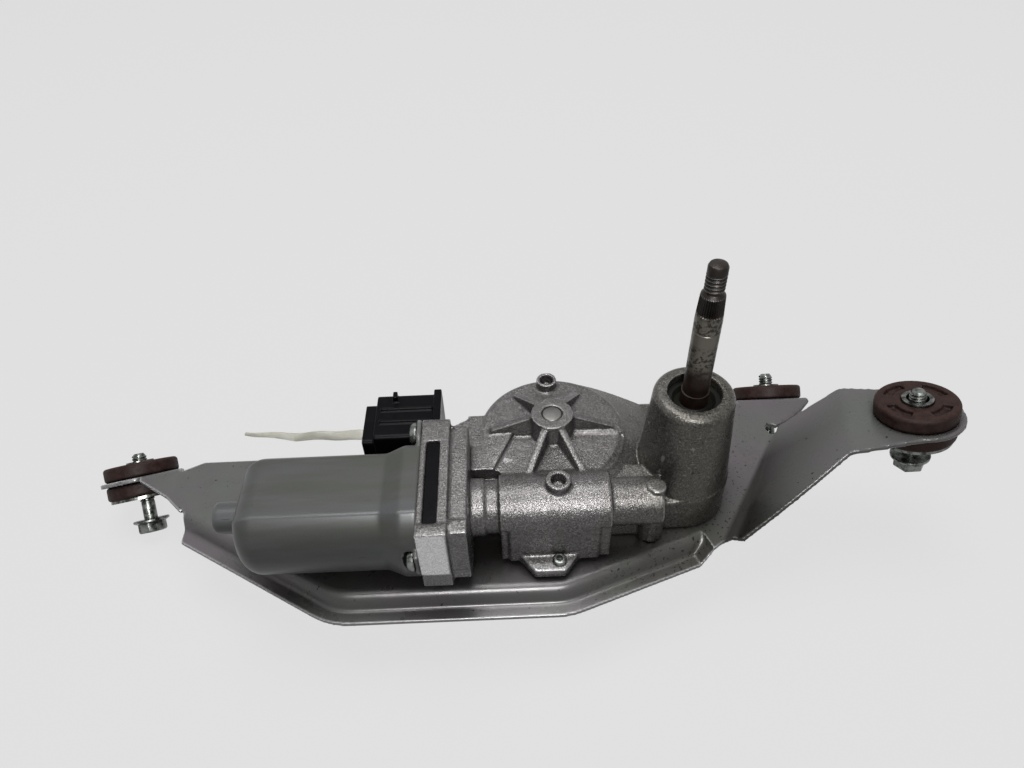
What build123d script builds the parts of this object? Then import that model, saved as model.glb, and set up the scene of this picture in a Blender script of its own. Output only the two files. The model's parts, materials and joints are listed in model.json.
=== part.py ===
# Rear wiper motor on its mounting bracket.
# Millimetres. The origin is where the output shaft's axis meets the top of the bracket plate.
# +X runs along the motor away from its rear end, +Y to the back, +Z up the output shaft.
from build123d import *
import math
import os

os.makedirs("parts", exist_ok=True)

# Bracket sheet
sheet = 1.6
bend_inside = 2.2
hole_fit = 0.05             # clearance of a round piece in its hole, on the radius
press_fit = 0.01            # the same for pieces that are pressed together
face_gap = 0.3              # running gap between pieces that move past each other
weld = 1.0                  # how far joined forms and open cuts reach into each other
through = 400.0             # longer than any piece, for cuts that go right through

# Bracket plate, seen from above
front_y = -33.2             # where the flat plate meets the stepped front edge
front_left_x = -112.4
front_right_x = -41.2
front_left_slant = 31.0
front_right_slant = 20.0
front_round = 16.0
plate_left_x = -170.3
plate_back_y = 22.4         # behind the motor
plate_rear_y = 42.2         # behind the gear case
plate_step_x = -79.0
plate_rear_x = -52.0
plate_back_rise = 3.4
step_right_x = 1.0          # where the stepped edge starts to fade out
step_fade = 4.6
fade_depth = 0.9
fade_angle = 20.0
fade_shelf = 4.7

# Stepped front edge
step_depth = 5.0
step_angle = 65.0
step_top_round = 3.5
step_foot_round = 0.8
step_shelf = 4.0

# Left arm and tab, middle tab
left_bend_x = -190.6
left_bend_y = 16.5
left_bend_width = 14.6
left_bend_turn = 13.4
tab_drop = 47.0
tab_radius = 14.6
left_tab_shift = -3.5
left_shoulder = 8.0
left_front_corner = (12.0, 8.0)
left_foot_corner = (18.6, 14.6)
middle_bend_x = 31.5
middle_bend_width = 26.6
middle_tab_shift = 16.2
notch_x = 54.4
notch_y = 36.4
slit_start = (1.4, 3.2)
slit_end = (8.0, 6.4)
foot_corner = (4.0, 1.6)
fade_reach = 7.9

# Right arm and tab
arm_foot_x = 39.4
arm_foot_y = 24.4
arm_foot_turn = 243.1
arm_foot_width = 50.4
arm_slope = 46.8
arm_back_reach = 25.2
arm_back_spread = 13.6
arm_front_bow = 0.8
arm_back_foot = 3.8
arm_level = 36.0
arm_skew = 17.0
right_tab_reach = 20.0
right_tab_shift = 16.4
right_tab_width = 38.0
right_tab_radius = 15.0
right_tab_corner = (12.4, 7.0)
right_tab_tip = (6.5, 13.8)
arm_bend_inside = 3.6
relief_radius = 2.0
relief_shift = (0.6, 3.0)

# Rubber grommets, collars and captive bolts
grommet_radius = 13.0
grommet_waist = 8.8
grommet_half = 5.4
grommet_round = 1.2
grommet_slot_inner = 7.5
grommet_slot_outer = 10.4
grommet_slot_depth = 1.6
grommet_slot_angle = 52.0
collar_outer = 4.85
collar_wall = 1.35
collar_stand = 0.7
collar_flange_radius = 12.2
collar_flange = 1.0
bolt_radius = 2.65
bolt_length = 25.0
bolt_travel = 8.0
bolt_head_radius = 6.35
bolt_head_rim = 1.3
bolt_hex = 8.9
bolt_hex_height = 3.9
bolt_point = 1.0
middle_bolt_lift = 1.5

# Motor axis
motor_y = -17.0
motor_z = 18.4

# Yoke
yoke_radius = 17.9
yoke_flat = 14.0
yoke_wall = 1.4
yoke_front_x = -84.0
yoke_length = 56.0
yoke_end_round = 7.0
yoke_cup_radius = 5.0
yoke_cup_length = 9.2
yoke_cup_wall = 1.0
yoke_flare_length = 11.0
yoke_flare = 2.3
yoke_flange = 1.6
yoke_ear = 5.0
yoke_screw_back = (19.0, 14.0)
yoke_screw_front = (-19.0, 1.5)
yoke_screw_radius = 2.1
yoke_screw_head = 3.7
yoke_screw_head_height = 2.5
yoke_screw_length = 12.0

# Gear case flange towards the yoke
flange_thickness = 9.0
flange_step = 5.6
flange_back = 22.5
flange_front = 22.0
flange_top = 36.0
flange_bottom = 1.6
flange_corner = 8.0
flange_edge = 1.2
flange_inset = 1.6
flange_pad_depth = 0.8
flange_pad_foot = 16.4
window_width = 4.0
window_length = 31.0
window_centre_y = -19.6
window_x = -80.0

# Gear case
wheel_x = -42.4
wheel_y = 9.7
case_radius = 24.7
case_draft = 0.6
case_wall = 1.9
case_top = 23.6
case_floor = 24.4
boss_radius = 6.9
boss_top = 31.5
rib_angles = (126.0, 58.0, 180.0, 0.0, 246.0, 294.0)
rib_reach = (19.5, 18.0, 20.0, 20.0, 22.4, 22.4)
rib_width = 2.4
rib_top = 30.6
rib_end = 25.4
shoulder_back = 17.8
shoulder_front = -6.0
shoulder_sink = 0.2         # below the top of the round dome
shoulder_right_x = -52.0
pocket_depth = 1.1          # of the sunk fields between the front ribs
pocket_corner = (-55.5, 8.3)
pocket_foot = (-62.2, -6.3)
pocket_right_x = -19.0
apron_radius = 38.0
apron_top_radius = 22.0
low_case_height = 14.0
low_case_radius = 15.3
plateau_left_x = -27.0
plateau_right_x = -8.6
web_back = 3.0              # the web behind the worm's necks, from the motor axis
plateau_back_y = -4.0
plateau_height = 20.6

# Worm housing along the front of the gear case
worm_block_left_x = -60.4
worm_block_right_x = -26.2
worm_block_radius = 9.8
worm_block_foot = 2.2
worm_block_notch = 2.6
worm_neck_radius = 9.0
worm_collar_radius = 8.3
worm_collar_x = -65.0
worm_end_radius = 7.5
worm_end_x = -10.0
lug_left_x = -54.6
lug_right_x = -36.2
lug_reach = 32.6
lug_taper = 4.4
lug_height = 5.2
lug_foot = 1.4
ring_outer = 3.5
ring_inner = 2.3
ring_depth = 4.0
back_ring_y = 30.2
back_ring_top = 27.0
front_ring_top = 30.6
screw_boss_x = -12.0
screw_boss_y = -17.6
screw_boss_radius = 2.9
screw_boss_top = 26.5
column_radius = 2.1
column_spread = 1.8

# Snout round the output shaft
snout_top = 48.6
snout_top_radius = 12.3
snout_base_radius = 14.9
snout_round = 2.6
snout_mouth_radius = 8.2
snout_mouth_depth = 3.2

# Output shaft and its bearings
shaft_radius = 3.9          # where it stands free of the snout
journal_step = 0.35         # how much thicker it is inside, on the radius
journal_stand = 1.0         # how far the thicker part shows above the snout
shaft_bottom = 2.4
shaft_point = 0.9
shaft_top = 95.7
thread_radius = 2.85
thread_length = 9.0
spline_length = 9.5
spline_radius = 3.3
bush_wall = 2.2
bush_length = 12.0
seal_height = 4.0
seal_rim = 1.5
seal_lip = 0.4
washer_height = 0.8
washer_radius = 6.6

# Gears
wheel_teeth = 54
wheel_module = 0.8
wheel_bottom = 14.0
wheel_height = 6.4
wheel_web = 3.2
wheel_hub = 7.4
wheel_rim = 3.4
crank_radius = 7.6
crank_boss = 4.2
crank_boss_height = 1.6
crank_pin_radius = 2.6
link_shortfall = 5.5        # how much shorter the link is than the wheel's distance from the shaft
gear_module = 0.9
pinion_teeth = 14
sector_teeth = 19
gear_backlash = 0.35        # taken off every tooth's width
gear_tip_relief = 0.12
pinion_bottom = 4.2
pinion_height = 5.2
link_thickness = 4.6
link_eye = 4.9
link_width = 7.0
lever_thickness = 2.0
lever_eye = 5.0
lever_hub = 6.2
axle_radius = 3.4
contact_height = 0.3
park_height = 0.5
park_strip = 0.25
park_count = 3

# Gear cover below
cover_thickness = 1.2
cover_dome_radius = 20.0
cover_dome_drop = 3.4
cover_window = 21.2
seal_width = 1.0
gasket_height = 0.5
small_screw_radius = 1.4
small_screw_head = 2.2
small_screw_head_height = 1.6
mount_screw_radius = 2.4
mount_screw_head = 4.6
mount_screw_head_height = 3.0
mount_screw_length = 11.0
mount_screw_hole = 2.7
left_screw_x = -66.5
left_screw_y = -1.5
back_boss_reach = 3.2
back_boss_radius = 5.2
back_boss_height = 10.0
lug_screw_shift = 3.0

# Armature
armature_radius = 11.9
armature_rear_gap = 11.0    # from the yoke's rear wall to the core
winding_gap = 0.2
armature_slots = 10
rotor_shaft_radius = 2.6
rotor_end_gap = 0.6          # between the shaft and the bottom of the cup
worm_root = 4.0
worm_length = 27.0
worm_centre_x = -43.2
commutator_radius = 6.0
commutator_left_x = -94.3
commutator_length = 8.5
commutator_bars = 10
winding_length = 6.5
winding_radius = 10.4
magnet_inner = 12.5
magnet_half_angle = 48.0
magnet_overhang = 1.5       # how far a magnet reaches past the core at each end
bearing_length = 5.0
front_bearing_x = -72.0
end_bearing_x = -24.0
thrust_pad_radius = 3.4
thrust_pad_length = 2.0

# Brushes and brush holder
holder_thickness = 6.0
holder_inner = 7.4
brush_width = 4.4
brush_height = 5.0
brush_length = 4.4
brush_reach = 13.2           # end of the brush boxes, from the motor axis
spring_leaf = 0.3
spring_half = 1.8
spring_width = 3.0
spring_folds = 3
brush_x = -90.2
brush_box_wall = 0.9

# Connector
plug_left_x = -101.4
plug_right_x = -79.2
plug_front_y = 6.6
plug_back_y = 26.6
plug_bottom = 6.5
plug_top = 26.4
plug_wall = 1.6
plug_round = 1.5
plug_rim = 4.2
plug_rim_step = 3.0
plug_floor_x = -91.0
plug_rib = 2.6
plug_rib_rise = 2.2
plug_peg = 1.5
pin_count = 4
pin_side = 0.9
pin_length = 9.5

# Cable tie tail
tie_y = 21.4
tie_z = 12.4
tie_length = 44.0
tie_width = 3.6
tie_thickness = 1.1
tie_tip = 1.0
tie_rise = 2.2


def save(name, piece):
    export_step(piece, f"parts/{name}.step")


def rod(x, y, z, radius, height):
    """A round bar that stands on z."""
    return Pos(x, y, z + height / 2) * Cylinder(radius, height)


def bar_x(x, y, z, radius, length):
    """A round bar that runs from x along +X."""
    return Pos(x + length / 2, y, z) * Rot(0, 90, 0) * Cylinder(radius, length)


def box_between(low, high):
    """A box given by its lowest and highest corners."""
    size = [high[i] - low[i] for i in range(3)]
    middle = [(high[i] + low[i]) / 2 for i in range(3)]
    return Pos(*middle) * Box(*size)


def slab(outline, low, high):
    """An outline in plan, raised from low to high."""
    return extrude(Pos(0, 0, low) * outline, amount=high - low, dir=(0, 0, 1))


def turned(profile, x=0.0, y=0.0):
    """A profile in radius and height, turned about an upright axis."""
    return Pos(x, y, 0) * revolve(Plane.XZ * profile, Axis.Z)


def polygon(points):
    return make_face(Polyline(*points, close=True))


def along(point, direction, distance):
    return (point[0] + direction[0] * distance, point[1] + direction[1] * distance)


def heading(degrees):
    return (math.cos(math.radians(degrees)), math.sin(math.radians(degrees)))


def setback(angle, top_radius):
    """How far before the sharp corner a bend of the sheet starts."""
    return top_radius * math.tan(math.radians(abs(angle)) / 2)


def bent(frame, start, width, angle, inside):
    """A bend of the sheet, and the frame of the sheet beyond it.

    A frame lies on the sheet's top face, with x along the bend and y outwards.
    A positive angle bends the sheet up."""
    section_plane = Plane(frame.origin, x_dir=frame.x_dir, z_dir=frame.y_dir)
    section = section_plane * (Pos(start + width / 2, sheet / 2) * Rectangle(width, sheet))
    rise = inside if angle > 0 else -sheet - inside
    pivot = frame.origin + frame.z_dir * rise
    turn = frame.x_dir if angle > 0 else frame.x_dir * -1
    strip = revolve(section, Axis(pivot, turn), revolution_arc=abs(angle))
    along_turn = math.cos(math.radians(angle))
    across_turn = math.sin(math.radians(angle))
    out = frame.y_dir * along_turn + frame.z_dir * across_turn
    normal = frame.z_dir * along_turn - frame.y_dir * across_turn
    beyond = Plane(pivot - normal * rise, x_dir=frame.x_dir, z_dir=normal)
    assert (beyond.y_dir - out).length < 1e-6
    return strip, beyond


def flat(frame, outline):
    """A flat piece of the sheet below a frame."""
    return extrude(frame * outline, amount=-sheet)


def seat(frame, shift, reach):
    """The plane of a grommet: on the middle of the sheet, z along its normal."""
    centre = frame.from_local_coords(Vector(shift, reach, -sheet / 2))
    return Plane(centre, x_dir=frame.x_dir, z_dir=frame.z_dir)


def tab_outline(start, end, shift, reach, radius):
    """A round tab on a neck that is as wide as its bend."""
    neck = polygon([(start, 0), (end, 0), (shift + radius, reach), (shift - radius, reach)])
    return neck + Pos(shift, reach) * Circle(radius)


# Frames of the three tabs
tab_setback = setback(tab_drop, bend_inside + sheet)
left_out = heading(left_bend_turn + 90)
left_start = along((left_bend_x, left_bend_y), left_out, -tab_setback)
left_frame = Plane((*left_start, 0), x_dir=(*heading(left_bend_turn), 0), z_dir=(0, 0, 1))
left_bend, left_tab_frame = bent(left_frame, 0, left_bend_width, -tab_drop, bend_inside)
tab_centre = tab_radius + 0.4
left_seat = seat(left_tab_frame, left_tab_shift, tab_centre)

middle_frame = Plane((middle_bend_x, plate_rear_y - tab_setback, 0), x_dir=(1, 0, 0), z_dir=(0, 0, 1))
middle_bend, middle_tab_frame = bent(middle_frame, 0, middle_bend_width, -tab_drop, bend_inside)
middle_seat = seat(middle_tab_frame, middle_tab_shift, tab_centre)

foot_out = heading(arm_foot_turn + 90)
foot_setback = setback(arm_slope, arm_bend_inside)
foot_start = along((arm_foot_x, arm_foot_y), foot_out, -foot_setback)
foot_frame = Plane((*foot_start, 0), x_dir=(*heading(arm_foot_turn), 0), z_dir=(0, 0, 1))
foot_bend, slope_frame = bent(foot_frame, 0, arm_foot_width, arm_slope, arm_bend_inside)
level_setback = setback(arm_level, arm_bend_inside + sheet)
skew_out = heading(arm_skew + 90)
level_start = along((-arm_back_spread, arm_back_reach - foot_setback), skew_out, -level_setback)
level_local = heading(arm_skew)
level_x = slope_frame.x_dir * level_local[0] + slope_frame.y_dir * level_local[1]
level_origin = slope_frame.from_local_coords(Vector(*level_start, 0))
level_frame = Plane(level_origin, x_dir=level_x, z_dir=slope_frame.z_dir)
level_bend, right_tab_frame = bent(level_frame, 0, right_tab_width, -arm_level, arm_bend_inside)
right_seat = seat(right_tab_frame, right_tab_shift, right_tab_reach)


def front_line(start_x, end_x):
    """The line where the flat plate meets the stepped front edge."""
    left = heading(180 - front_left_slant)
    right = heading(front_right_slant)
    corner_left = (front_left_x, front_y)
    corner_right = (front_right_x, front_y)
    first = along(corner_left, left, (start_x - front_left_x) / left[0])
    last = along(corner_right, right, (end_x - front_right_x) / right[0])
    return FilletPolyline(first, corner_left, corner_right, last, radius=front_round)


def step_profile(depth, angle, shelf):
    """The stepped edge's section: out from the plate, down and out again."""
    down = math.radians(angle)
    foot_drop = step_foot_round * (1 - math.cos(down))
    top_drop = step_top_round * (1 - math.cos(down))
    wall = (depth - foot_drop - top_drop) / math.sin(down)

    def chain(top_radius, foot_radius, height):
        bend_top = JernArc((0, height), (1, 0), top_radius, -angle)
        wall_line = Line(bend_top @ 1, bend_top @ 1 + (bend_top % 1) * wall)
        bend_foot = JernArc(wall_line @ 1, wall_line % 1, foot_radius, angle)
        shelf_line = Line(bend_foot @ 1, bend_foot @ 1 + Vector(shelf, 0))
        return bend_top, wall_line, bend_foot, shelf_line

    upper = chain(step_top_round, step_foot_round, 0)
    lower = chain(step_top_round - sheet, step_foot_round + sheet, -sheet)
    inner_end = Line(upper[0] @ 0, lower[0] @ 0)
    outer_end = Line(upper[3] @ 1, lower[3] @ 1)
    return make_face(Curve() + [*upper, *lower, inner_end, outer_end])


def edge_frame(point, travel):
    """The section's plane: x outwards from the plate, y up."""
    outwards = Vector(travel.Y, -travel.X, 0)
    return Plane(point, x_dir=outwards, z_dir=outwards.cross(Vector(0, 0, 1)))


def stepped_edge():
    path = front_line(plate_left_x - 6, step_right_x)
    start = edge_frame(path @ 0, path % 0)
    run = sweep(start * step_profile(step_depth, step_angle, step_shelf), path=path)
    end_travel = path % 1
    end = edge_frame(path @ 1, end_travel)
    shallow = edge_frame((path @ 1) + end_travel * step_fade, end_travel)
    fade = loft([end * step_profile(step_depth, step_angle, step_shelf),
                 shallow * step_profile(fade_depth, fade_angle, fade_shelf)])
    cut = box_between((plate_left_x - through, -through, -through), (plate_left_x, through, through))
    return run + fade - cut


def plate_outline():
    """The flat plate in plan, clockwise from its front left corner."""
    front = front_line(plate_left_x, step_right_x + step_fade * math.cos(math.radians(front_right_slant)))
    first = front @ 0
    last = front @ 1
    foot_front = foot_frame.from_local_coords(Vector(arm_foot_width, 0, 0))
    foot_back = foot_frame.from_local_coords(Vector(0, 0, 0))
    left_end = left_frame.from_local_coords(Vector(left_bend_width, 0, 0))
    left_near = left_frame.from_local_coords(Vector(0, 0, 0))
    outwards = heading(front_right_slant - 90)
    fade_corner = along((last.X, last.Y), outwards, fade_reach)
    points = [
        (last.X, last.Y),
        fade_corner,
        (foot_front.X - foot_corner[0], foot_front.Y - foot_corner[1]),
        (foot_front.X, foot_front.Y),
        (foot_back.X, foot_back.Y),
        (arm_foot_x + slit_start[0], arm_foot_y + slit_start[1]),
        (arm_foot_x + slit_end[0], arm_foot_y + slit_end[1]),
        (notch_x, notch_y),
        (middle_bend_x + middle_bend_width, middle_frame.origin.Y),
        (middle_bend_x, middle_frame.origin.Y),
        (plate_rear_x, plate_rear_y + plate_back_rise),
        (plate_step_x, plate_back_y),
        (left_end.X + left_shoulder, plate_back_y),
        (left_end.X, left_end.Y),
        (left_near.X, left_near.Y),
        (left_near.X + left_front_corner[0], left_near.Y - left_front_corner[1]),
        (left_near.X + left_foot_corner[0], left_near.Y - left_foot_corner[1]),
        (first.X, first.Y),
    ]
    return make_face(Curve() + [*front.edges(), Polyline(*points)])


def slope_outline():
    """The sloping part of the right arm, in its own frame."""
    line_start = level_start
    line_end = along(level_start, level_local, right_tab_width)
    front_foot = (arm_foot_width, 0)
    bow = ((front_foot[0] + line_end[0]) / 2 + arm_front_bow, (front_foot[1] + line_end[1]) / 2)
    front_edge = ThreePointArc(front_foot, bow, line_end)
    rest = Polyline(line_end, line_start, (-arm_back_foot, 0), front_foot)
    return make_face(Curve() + [front_edge, rest])


def right_tab_outline():
    neck = polygon([(0, 0), (right_tab_width, 0),
                    (right_tab_shift + right_tab_radius, right_tab_reach),
                    (right_tab_shift - right_tab_radius, right_tab_reach)])
    corner = polygon([(right_tab_shift, right_tab_reach), (right_tab_shift + right_tab_radius, right_tab_reach),
                      (right_tab_shift + right_tab_corner[0], right_tab_reach + right_tab_corner[1]),
                      (right_tab_shift + right_tab_tip[0], right_tab_reach + right_tab_tip[1])])
    return neck + corner + Pos(right_tab_shift, right_tab_reach) * Circle(right_tab_radius)


def mounting_bracket():
    bracket = flat(Plane.XY, plate_outline()) + stepped_edge()
    bracket += left_bend
    left_outline = tab_outline(0, left_bend_width, left_tab_shift, tab_centre, tab_radius)
    bracket += flat(left_tab_frame, left_outline)
    bracket += middle_bend
    middle_outline = tab_outline(0, middle_bend_width, middle_tab_shift, tab_centre, tab_radius)
    bracket += flat(middle_tab_frame, middle_outline)
    bracket += foot_bend
    bracket += flat(slope_frame, slope_outline())
    bracket += level_bend
    bracket += flat(right_tab_frame, right_tab_outline())
    for place in (left_seat, middle_seat, right_seat):
        bracket -= place.location * Cylinder(grommet_waist + hole_fit, sheet * 3)
    bracket -= rod(arm_foot_x + relief_shift[0], arm_foot_y + relief_shift[1], -sheet * 2, relief_radius, sheet * 5)
    bracket -= rod(wheel_x, wheel_y, -sheet * 2, cover_window, sheet * 3)
    for x, y in mount_screw_places:
        bracket -= rod(x, y, -sheet * 2, mount_screw_hole, sheet * 3)
    bracket -= rod(lug_screw_x, lug_screw_y, -sheet * 2, small_screw_radius, sheet * 3)
    return bracket


# Grommets, collars and bolts, each in the frame of its tab
half_sheet = sheet / 2
grommet_top = half_sheet + grommet_half


def grommet():
    half = polygon([(collar_outer, half_sheet), (grommet_radius, half_sheet),
                    (grommet_radius, grommet_top), (collar_outer, grommet_top)])
    half = fillet(half.vertices().group_by(Axis.X)[-1], grommet_round)
    upper = turned(half)
    lower = mirror(upper, Plane.XY)
    waist = Cylinder(grommet_waist, sheet) - Cylinder(collar_outer, sheet)
    rubber = upper + lower + waist
    ring = Pos(0, 0, grommet_top) * (Cylinder(grommet_slot_outer, grommet_slot_depth * 2)
                                     - Cylinder(grommet_slot_inner, grommet_slot_depth * 2))
    for turn in range(4):
        half_angle = grommet_slot_angle / 2
        reach = grommet_radius * 1.6
        wedge = polygon([(0, 0), along((0, 0), heading(-half_angle), reach), along((0, 0), heading(half_angle), reach)])
        cutter = Rot(0, 0, 45 + 90 * turn) * slab(wedge, grommet_top - grommet_slot_depth, grommet_top + 1)
        rubber -= ring & cutter
    return rubber


def collar():
    top = grommet_top + collar_stand
    bottom = -grommet_top - collar_flange
    tube = rod(0, 0, bottom, collar_outer, top - bottom)
    tube += rod(0, 0, bottom, collar_flange_radius, collar_flange)
    return tube - rod(0, 0, bottom - 1, collar_outer - collar_wall, top - bottom + 2)


def captive_bolt():
    """Modelled with its head as low as it hangs."""
    seat_height = -grommet_top - collar_flange - bolt_travel
    shank = rod(0, 0, seat_height, bolt_radius, bolt_length)
    shank = chamfer(shank.edges().sort_by(Axis.Z)[-1], bolt_point)
    rim = rod(0, 0, seat_height - bolt_head_rim, bolt_head_radius, bolt_head_rim)
    hexagon = RegularPolygon(bolt_hex / 2, 6, major_radius=False)
    head = slab(hexagon, seat_height - bolt_head_rim - bolt_hex_height, seat_height - bolt_head_rim)
    cone = Pos(0, 0, seat_height - bolt_head_rim - bolt_hex_height / 2) * Cone(
        bolt_hex * 0.52, bolt_hex * 0.74, bolt_hex_height)
    return shank + rim + (head & cone)


# Mechanism: crank, link with toothed sector, holding lever and pinion
journal_radius = shaft_radius + journal_step
pinion_pitch = gear_module * pinion_teeth / 2
sector_pitch = gear_module * sector_teeth / 2
lever_length = pinion_pitch + sector_pitch
wheel_distance = math.hypot(wheel_x, wheel_y)
link_length = wheel_distance - link_shortfall
wheel_bearing = math.degrees(math.atan2(wheel_y, wheel_x))


def lever_angle(reach):
    """The lever's direction when its pin stands this far from the wheel's axis."""
    ratio = (wheel_distance ** 2 + lever_length ** 2 - reach ** 2) / (2 * wheel_distance * lever_length)
    return wheel_bearing - math.degrees(math.acos(ratio))


def link_angle(pin):
    return math.degrees(math.atan2(pin[1] - wheel_y, pin[0] - wheel_x))


lever_rest = lever_angle(link_length - crank_radius)
lever_limit = lever_angle(link_length + crank_radius)
pin_rest = along((0, 0), heading(lever_rest), lever_length)
pin_limit = along((0, 0), heading(lever_limit), lever_length)
link_rest = link_angle(pin_rest)
link_limit = link_angle(pin_limit)
lever_swing = lever_limit - lever_rest
link_swing = (link_limit - link_rest) - lever_swing
output_swing = lever_swing - link_swing * sector_pitch / pinion_pitch
crank_rest = along(pin_rest, heading(link_rest), -link_length)


def involute(angle):
    return math.tan(angle) - angle


def gear_outline(teeth, module, tooth_at):
    """A spur gear's outline with one tooth's middle at the angle tooth_at."""
    pitch = module * teeth / 2
    base = pitch * math.cos(math.radians(20))
    tip = pitch + module - gear_tip_relief
    root = pitch - 1.25 * module
    flank_start = max(base, root + 0.05)
    half_tooth = (math.pi / 2 - gear_backlash / module / 2) / teeth + involute(math.radians(20))
    radii = [flank_start, (flank_start + tip) / 2, tip]
    widths = [half_tooth - involute(math.acos(min(1.0, base / radius))) for radius in radii]
    steps = [(root, widths[0])] + list(zip(radii, widths))
    points = []
    for tooth in range(teeth):
        middle = math.radians(tooth_at) + 2 * math.pi * tooth / teeth
        for radius, width in steps:
            points.append((radius * math.cos(middle - width), radius * math.sin(middle - width)))
        for radius, width in reversed(steps):
            points.append((radius * math.cos(middle + width), radius * math.sin(middle + width)))
    return polygon(points)


def output_pinion():
    gear = slab(gear_outline(pinion_teeth, gear_module, lever_rest), pinion_bottom, pinion_bottom + pinion_height)
    return gear - rod(0, 0, 0, journal_radius + press_fit, through)


sector_tip = sector_pitch + gear_module
mesh_rest = lever_rest + 180 - link_rest
mesh_limit = lever_limit + 180 - link_limit
sector_margin = 17.0
link_top = pinion_bottom + 0.3 + link_thickness
lever_bottom = max(pinion_bottom + pinion_height, link_top) + face_gap


def sector_link():
    half_pitch = 180 / sector_teeth
    gear = gear_outline(sector_teeth, gear_module, mesh_rest + half_pitch)
    low_angle = mesh_limit - sector_margin
    high_angle = mesh_rest + sector_margin
    reach = sector_tip * 1.5
    middle_angle = (low_angle + high_angle) / 2
    fan = polygon([(0, 0), along((0, 0), heading(low_angle), reach), along((0, 0), heading(middle_angle), reach * 1.5),
                   along((0, 0), heading(high_angle), reach)])
    outline = (gear & fan) + Circle(link_eye)
    outline += Pos(-link_length / 2, 0) * Rectangle(link_length, link_width)
    outline += Pos(-link_length, 0) * Circle(link_width / 2 + 0.8)
    link = slab(outline, pinion_bottom + 0.3, link_top)
    link -= rod(0, 0, 0, crank_pin_radius + hole_fit, 20)
    link -= rod(-link_length, 0, 0, crank_pin_radius, 20)
    return Pos(*pin_rest, 0) * Rot(0, 0, link_rest) * link


crank_top = wheel_bottom - crank_boss_height - face_gap


def crank_pin():
    return rod(*crank_rest, pinion_bottom + 0.3, crank_pin_radius, crank_top - pinion_bottom - 0.3)


def holding_lever():
    outline = Circle(lever_hub) + Pos(lever_length, 0) * Circle(lever_eye)
    outline += Pos(lever_length / 2, 0) * Rectangle(lever_length, lever_eye * 1.7)
    lever = slab(outline, lever_bottom, lever_bottom + lever_thickness)
    lever -= rod(0, 0, 0, journal_radius + hole_fit, through)
    lever -= rod(lever_length, 0, 0, crank_pin_radius, through)
    return Rot(0, 0, lever_rest) * lever


def lever_pin():
    top = lever_bottom + lever_thickness
    return rod(*pin_rest, pinion_bottom, crank_pin_radius, top - pinion_bottom)


def worm_wheel():
    top = wheel_bottom + wheel_height
    gear = slab(gear_outline(wheel_teeth, wheel_module, 270), wheel_bottom, top)
    pitch = wheel_module * wheel_teeth / 2
    dish = rod(0, 0, wheel_bottom + wheel_web, pitch - wheel_rim, wheel_height)
    dish -= rod(0, 0, wheel_bottom, wheel_hub, wheel_height * 2)
    gear -= dish
    for turn in range(6):
        gear += Rot(0, 0, 60 * turn) * box_between((wheel_hub - 0.5, -0.8, wheel_bottom + wheel_web / 2),
                                                   (pitch - wheel_rim + 0.5, 0.8, top - 1.6))
    crank_turn = link_rest + 180
    boss = rod(0, 0, wheel_bottom - crank_boss_height, crank_boss, crank_boss_height + 0.5)
    gear += Rot(0, 0, crank_turn) * Pos(crank_radius, 0, 0) * boss
    gear -= rod(0, 0, 0, axle_radius + hole_fit, through)
    return Pos(wheel_x, wheel_y, 0) * gear


def contact_plate():
    """Brass ring on the wheel's rim that the park contacts run on."""
    pitch = wheel_module * wheel_teeth / 2
    top = wheel_bottom + wheel_height
    outer = pitch - 1.6
    ring = rod(0, 0, top, outer, contact_height) - rod(0, 0, top - 1, pitch - wheel_rim, 3)
    return Pos(wheel_x, wheel_y, 0) * ring


# Places of the screws that come up through the bracket
back_boss_y = wheel_y + case_radius + back_boss_reach
mount_screw_places = [(screw_boss_x, screw_boss_y), (left_screw_x, left_screw_y),
                      (wheel_x, back_boss_y)]
lug_screw_x = (lug_left_x + lug_right_x) / 2 + lug_screw_shift
lug_screw_y = motor_y - worm_block_radius - small_screw_head - hole_fit * 2

# Hollows of the gear case
wheel_room = case_radius - case_wall
wheel_ceiling = wheel_bottom + wheel_height + contact_height + face_gap + park_height
mechanism_ceiling = lever_bottom + lever_thickness + face_gap
sector_room = sector_tip + 0.8
shaft_room = low_case_radius - case_wall
tunnel_radius = worm_root + 2.4
bush_radius = journal_radius + hole_fit + bush_wall
lower_bush_z = low_case_height
upper_bush_z = snout_top - snout_mouth_depth - seal_height - 1.0 - bush_length


def round_hull(extra):
    """The outline round the wheel, the sector's far place and the shaft, grown by extra."""
    circles = Pos(wheel_x, wheel_y) * Circle(wheel_room + extra)
    circles += Pos(*pin_limit) * Circle(sector_room + extra)
    circles += Circle(shaft_room + extra)
    return make_hull(circles.edges())


def snout():
    """The cone over the case, with its round shoulder and its open mouth."""
    profile = polygon([(0, 0), (snout_base_radius, 0), (snout_base_radius, low_case_height + 1.0),
                       (snout_top_radius, snout_top), (0, snout_top)])
    shoulder = profile.vertices().group_by(Axis.Y)[-1].sort_by(Axis.X)[-1]
    profile = fillet(shoulder, snout_round)
    return turned(profile)


def front_fields():
    """The sunk fields in front of the boss, between and beside the two front ribs."""
    block_back = motor_y + worm_block_radius
    plan = polygon([pocket_corner, pocket_foot, (pocket_foot[0], block_back - weld),
                    (pocket_right_x, block_back - weld), (pocket_right_x, wheel_y - rib_width)])
    return slab(plan, case_top - pocket_depth, case_top + through)


def apron():
    """The slope that runs from the dome down to the snout."""
    height = case_top - shoulder_sink - low_case_height
    cone = Pos(wheel_x, wheel_y, low_case_height + height / 2) * Cone(apron_radius, apron_top_radius, height)
    side = box_between((wheel_x, motor_y, 0), (0, through, case_top))
    return cone & side & slab(round_hull(case_wall), 0, case_top)


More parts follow.
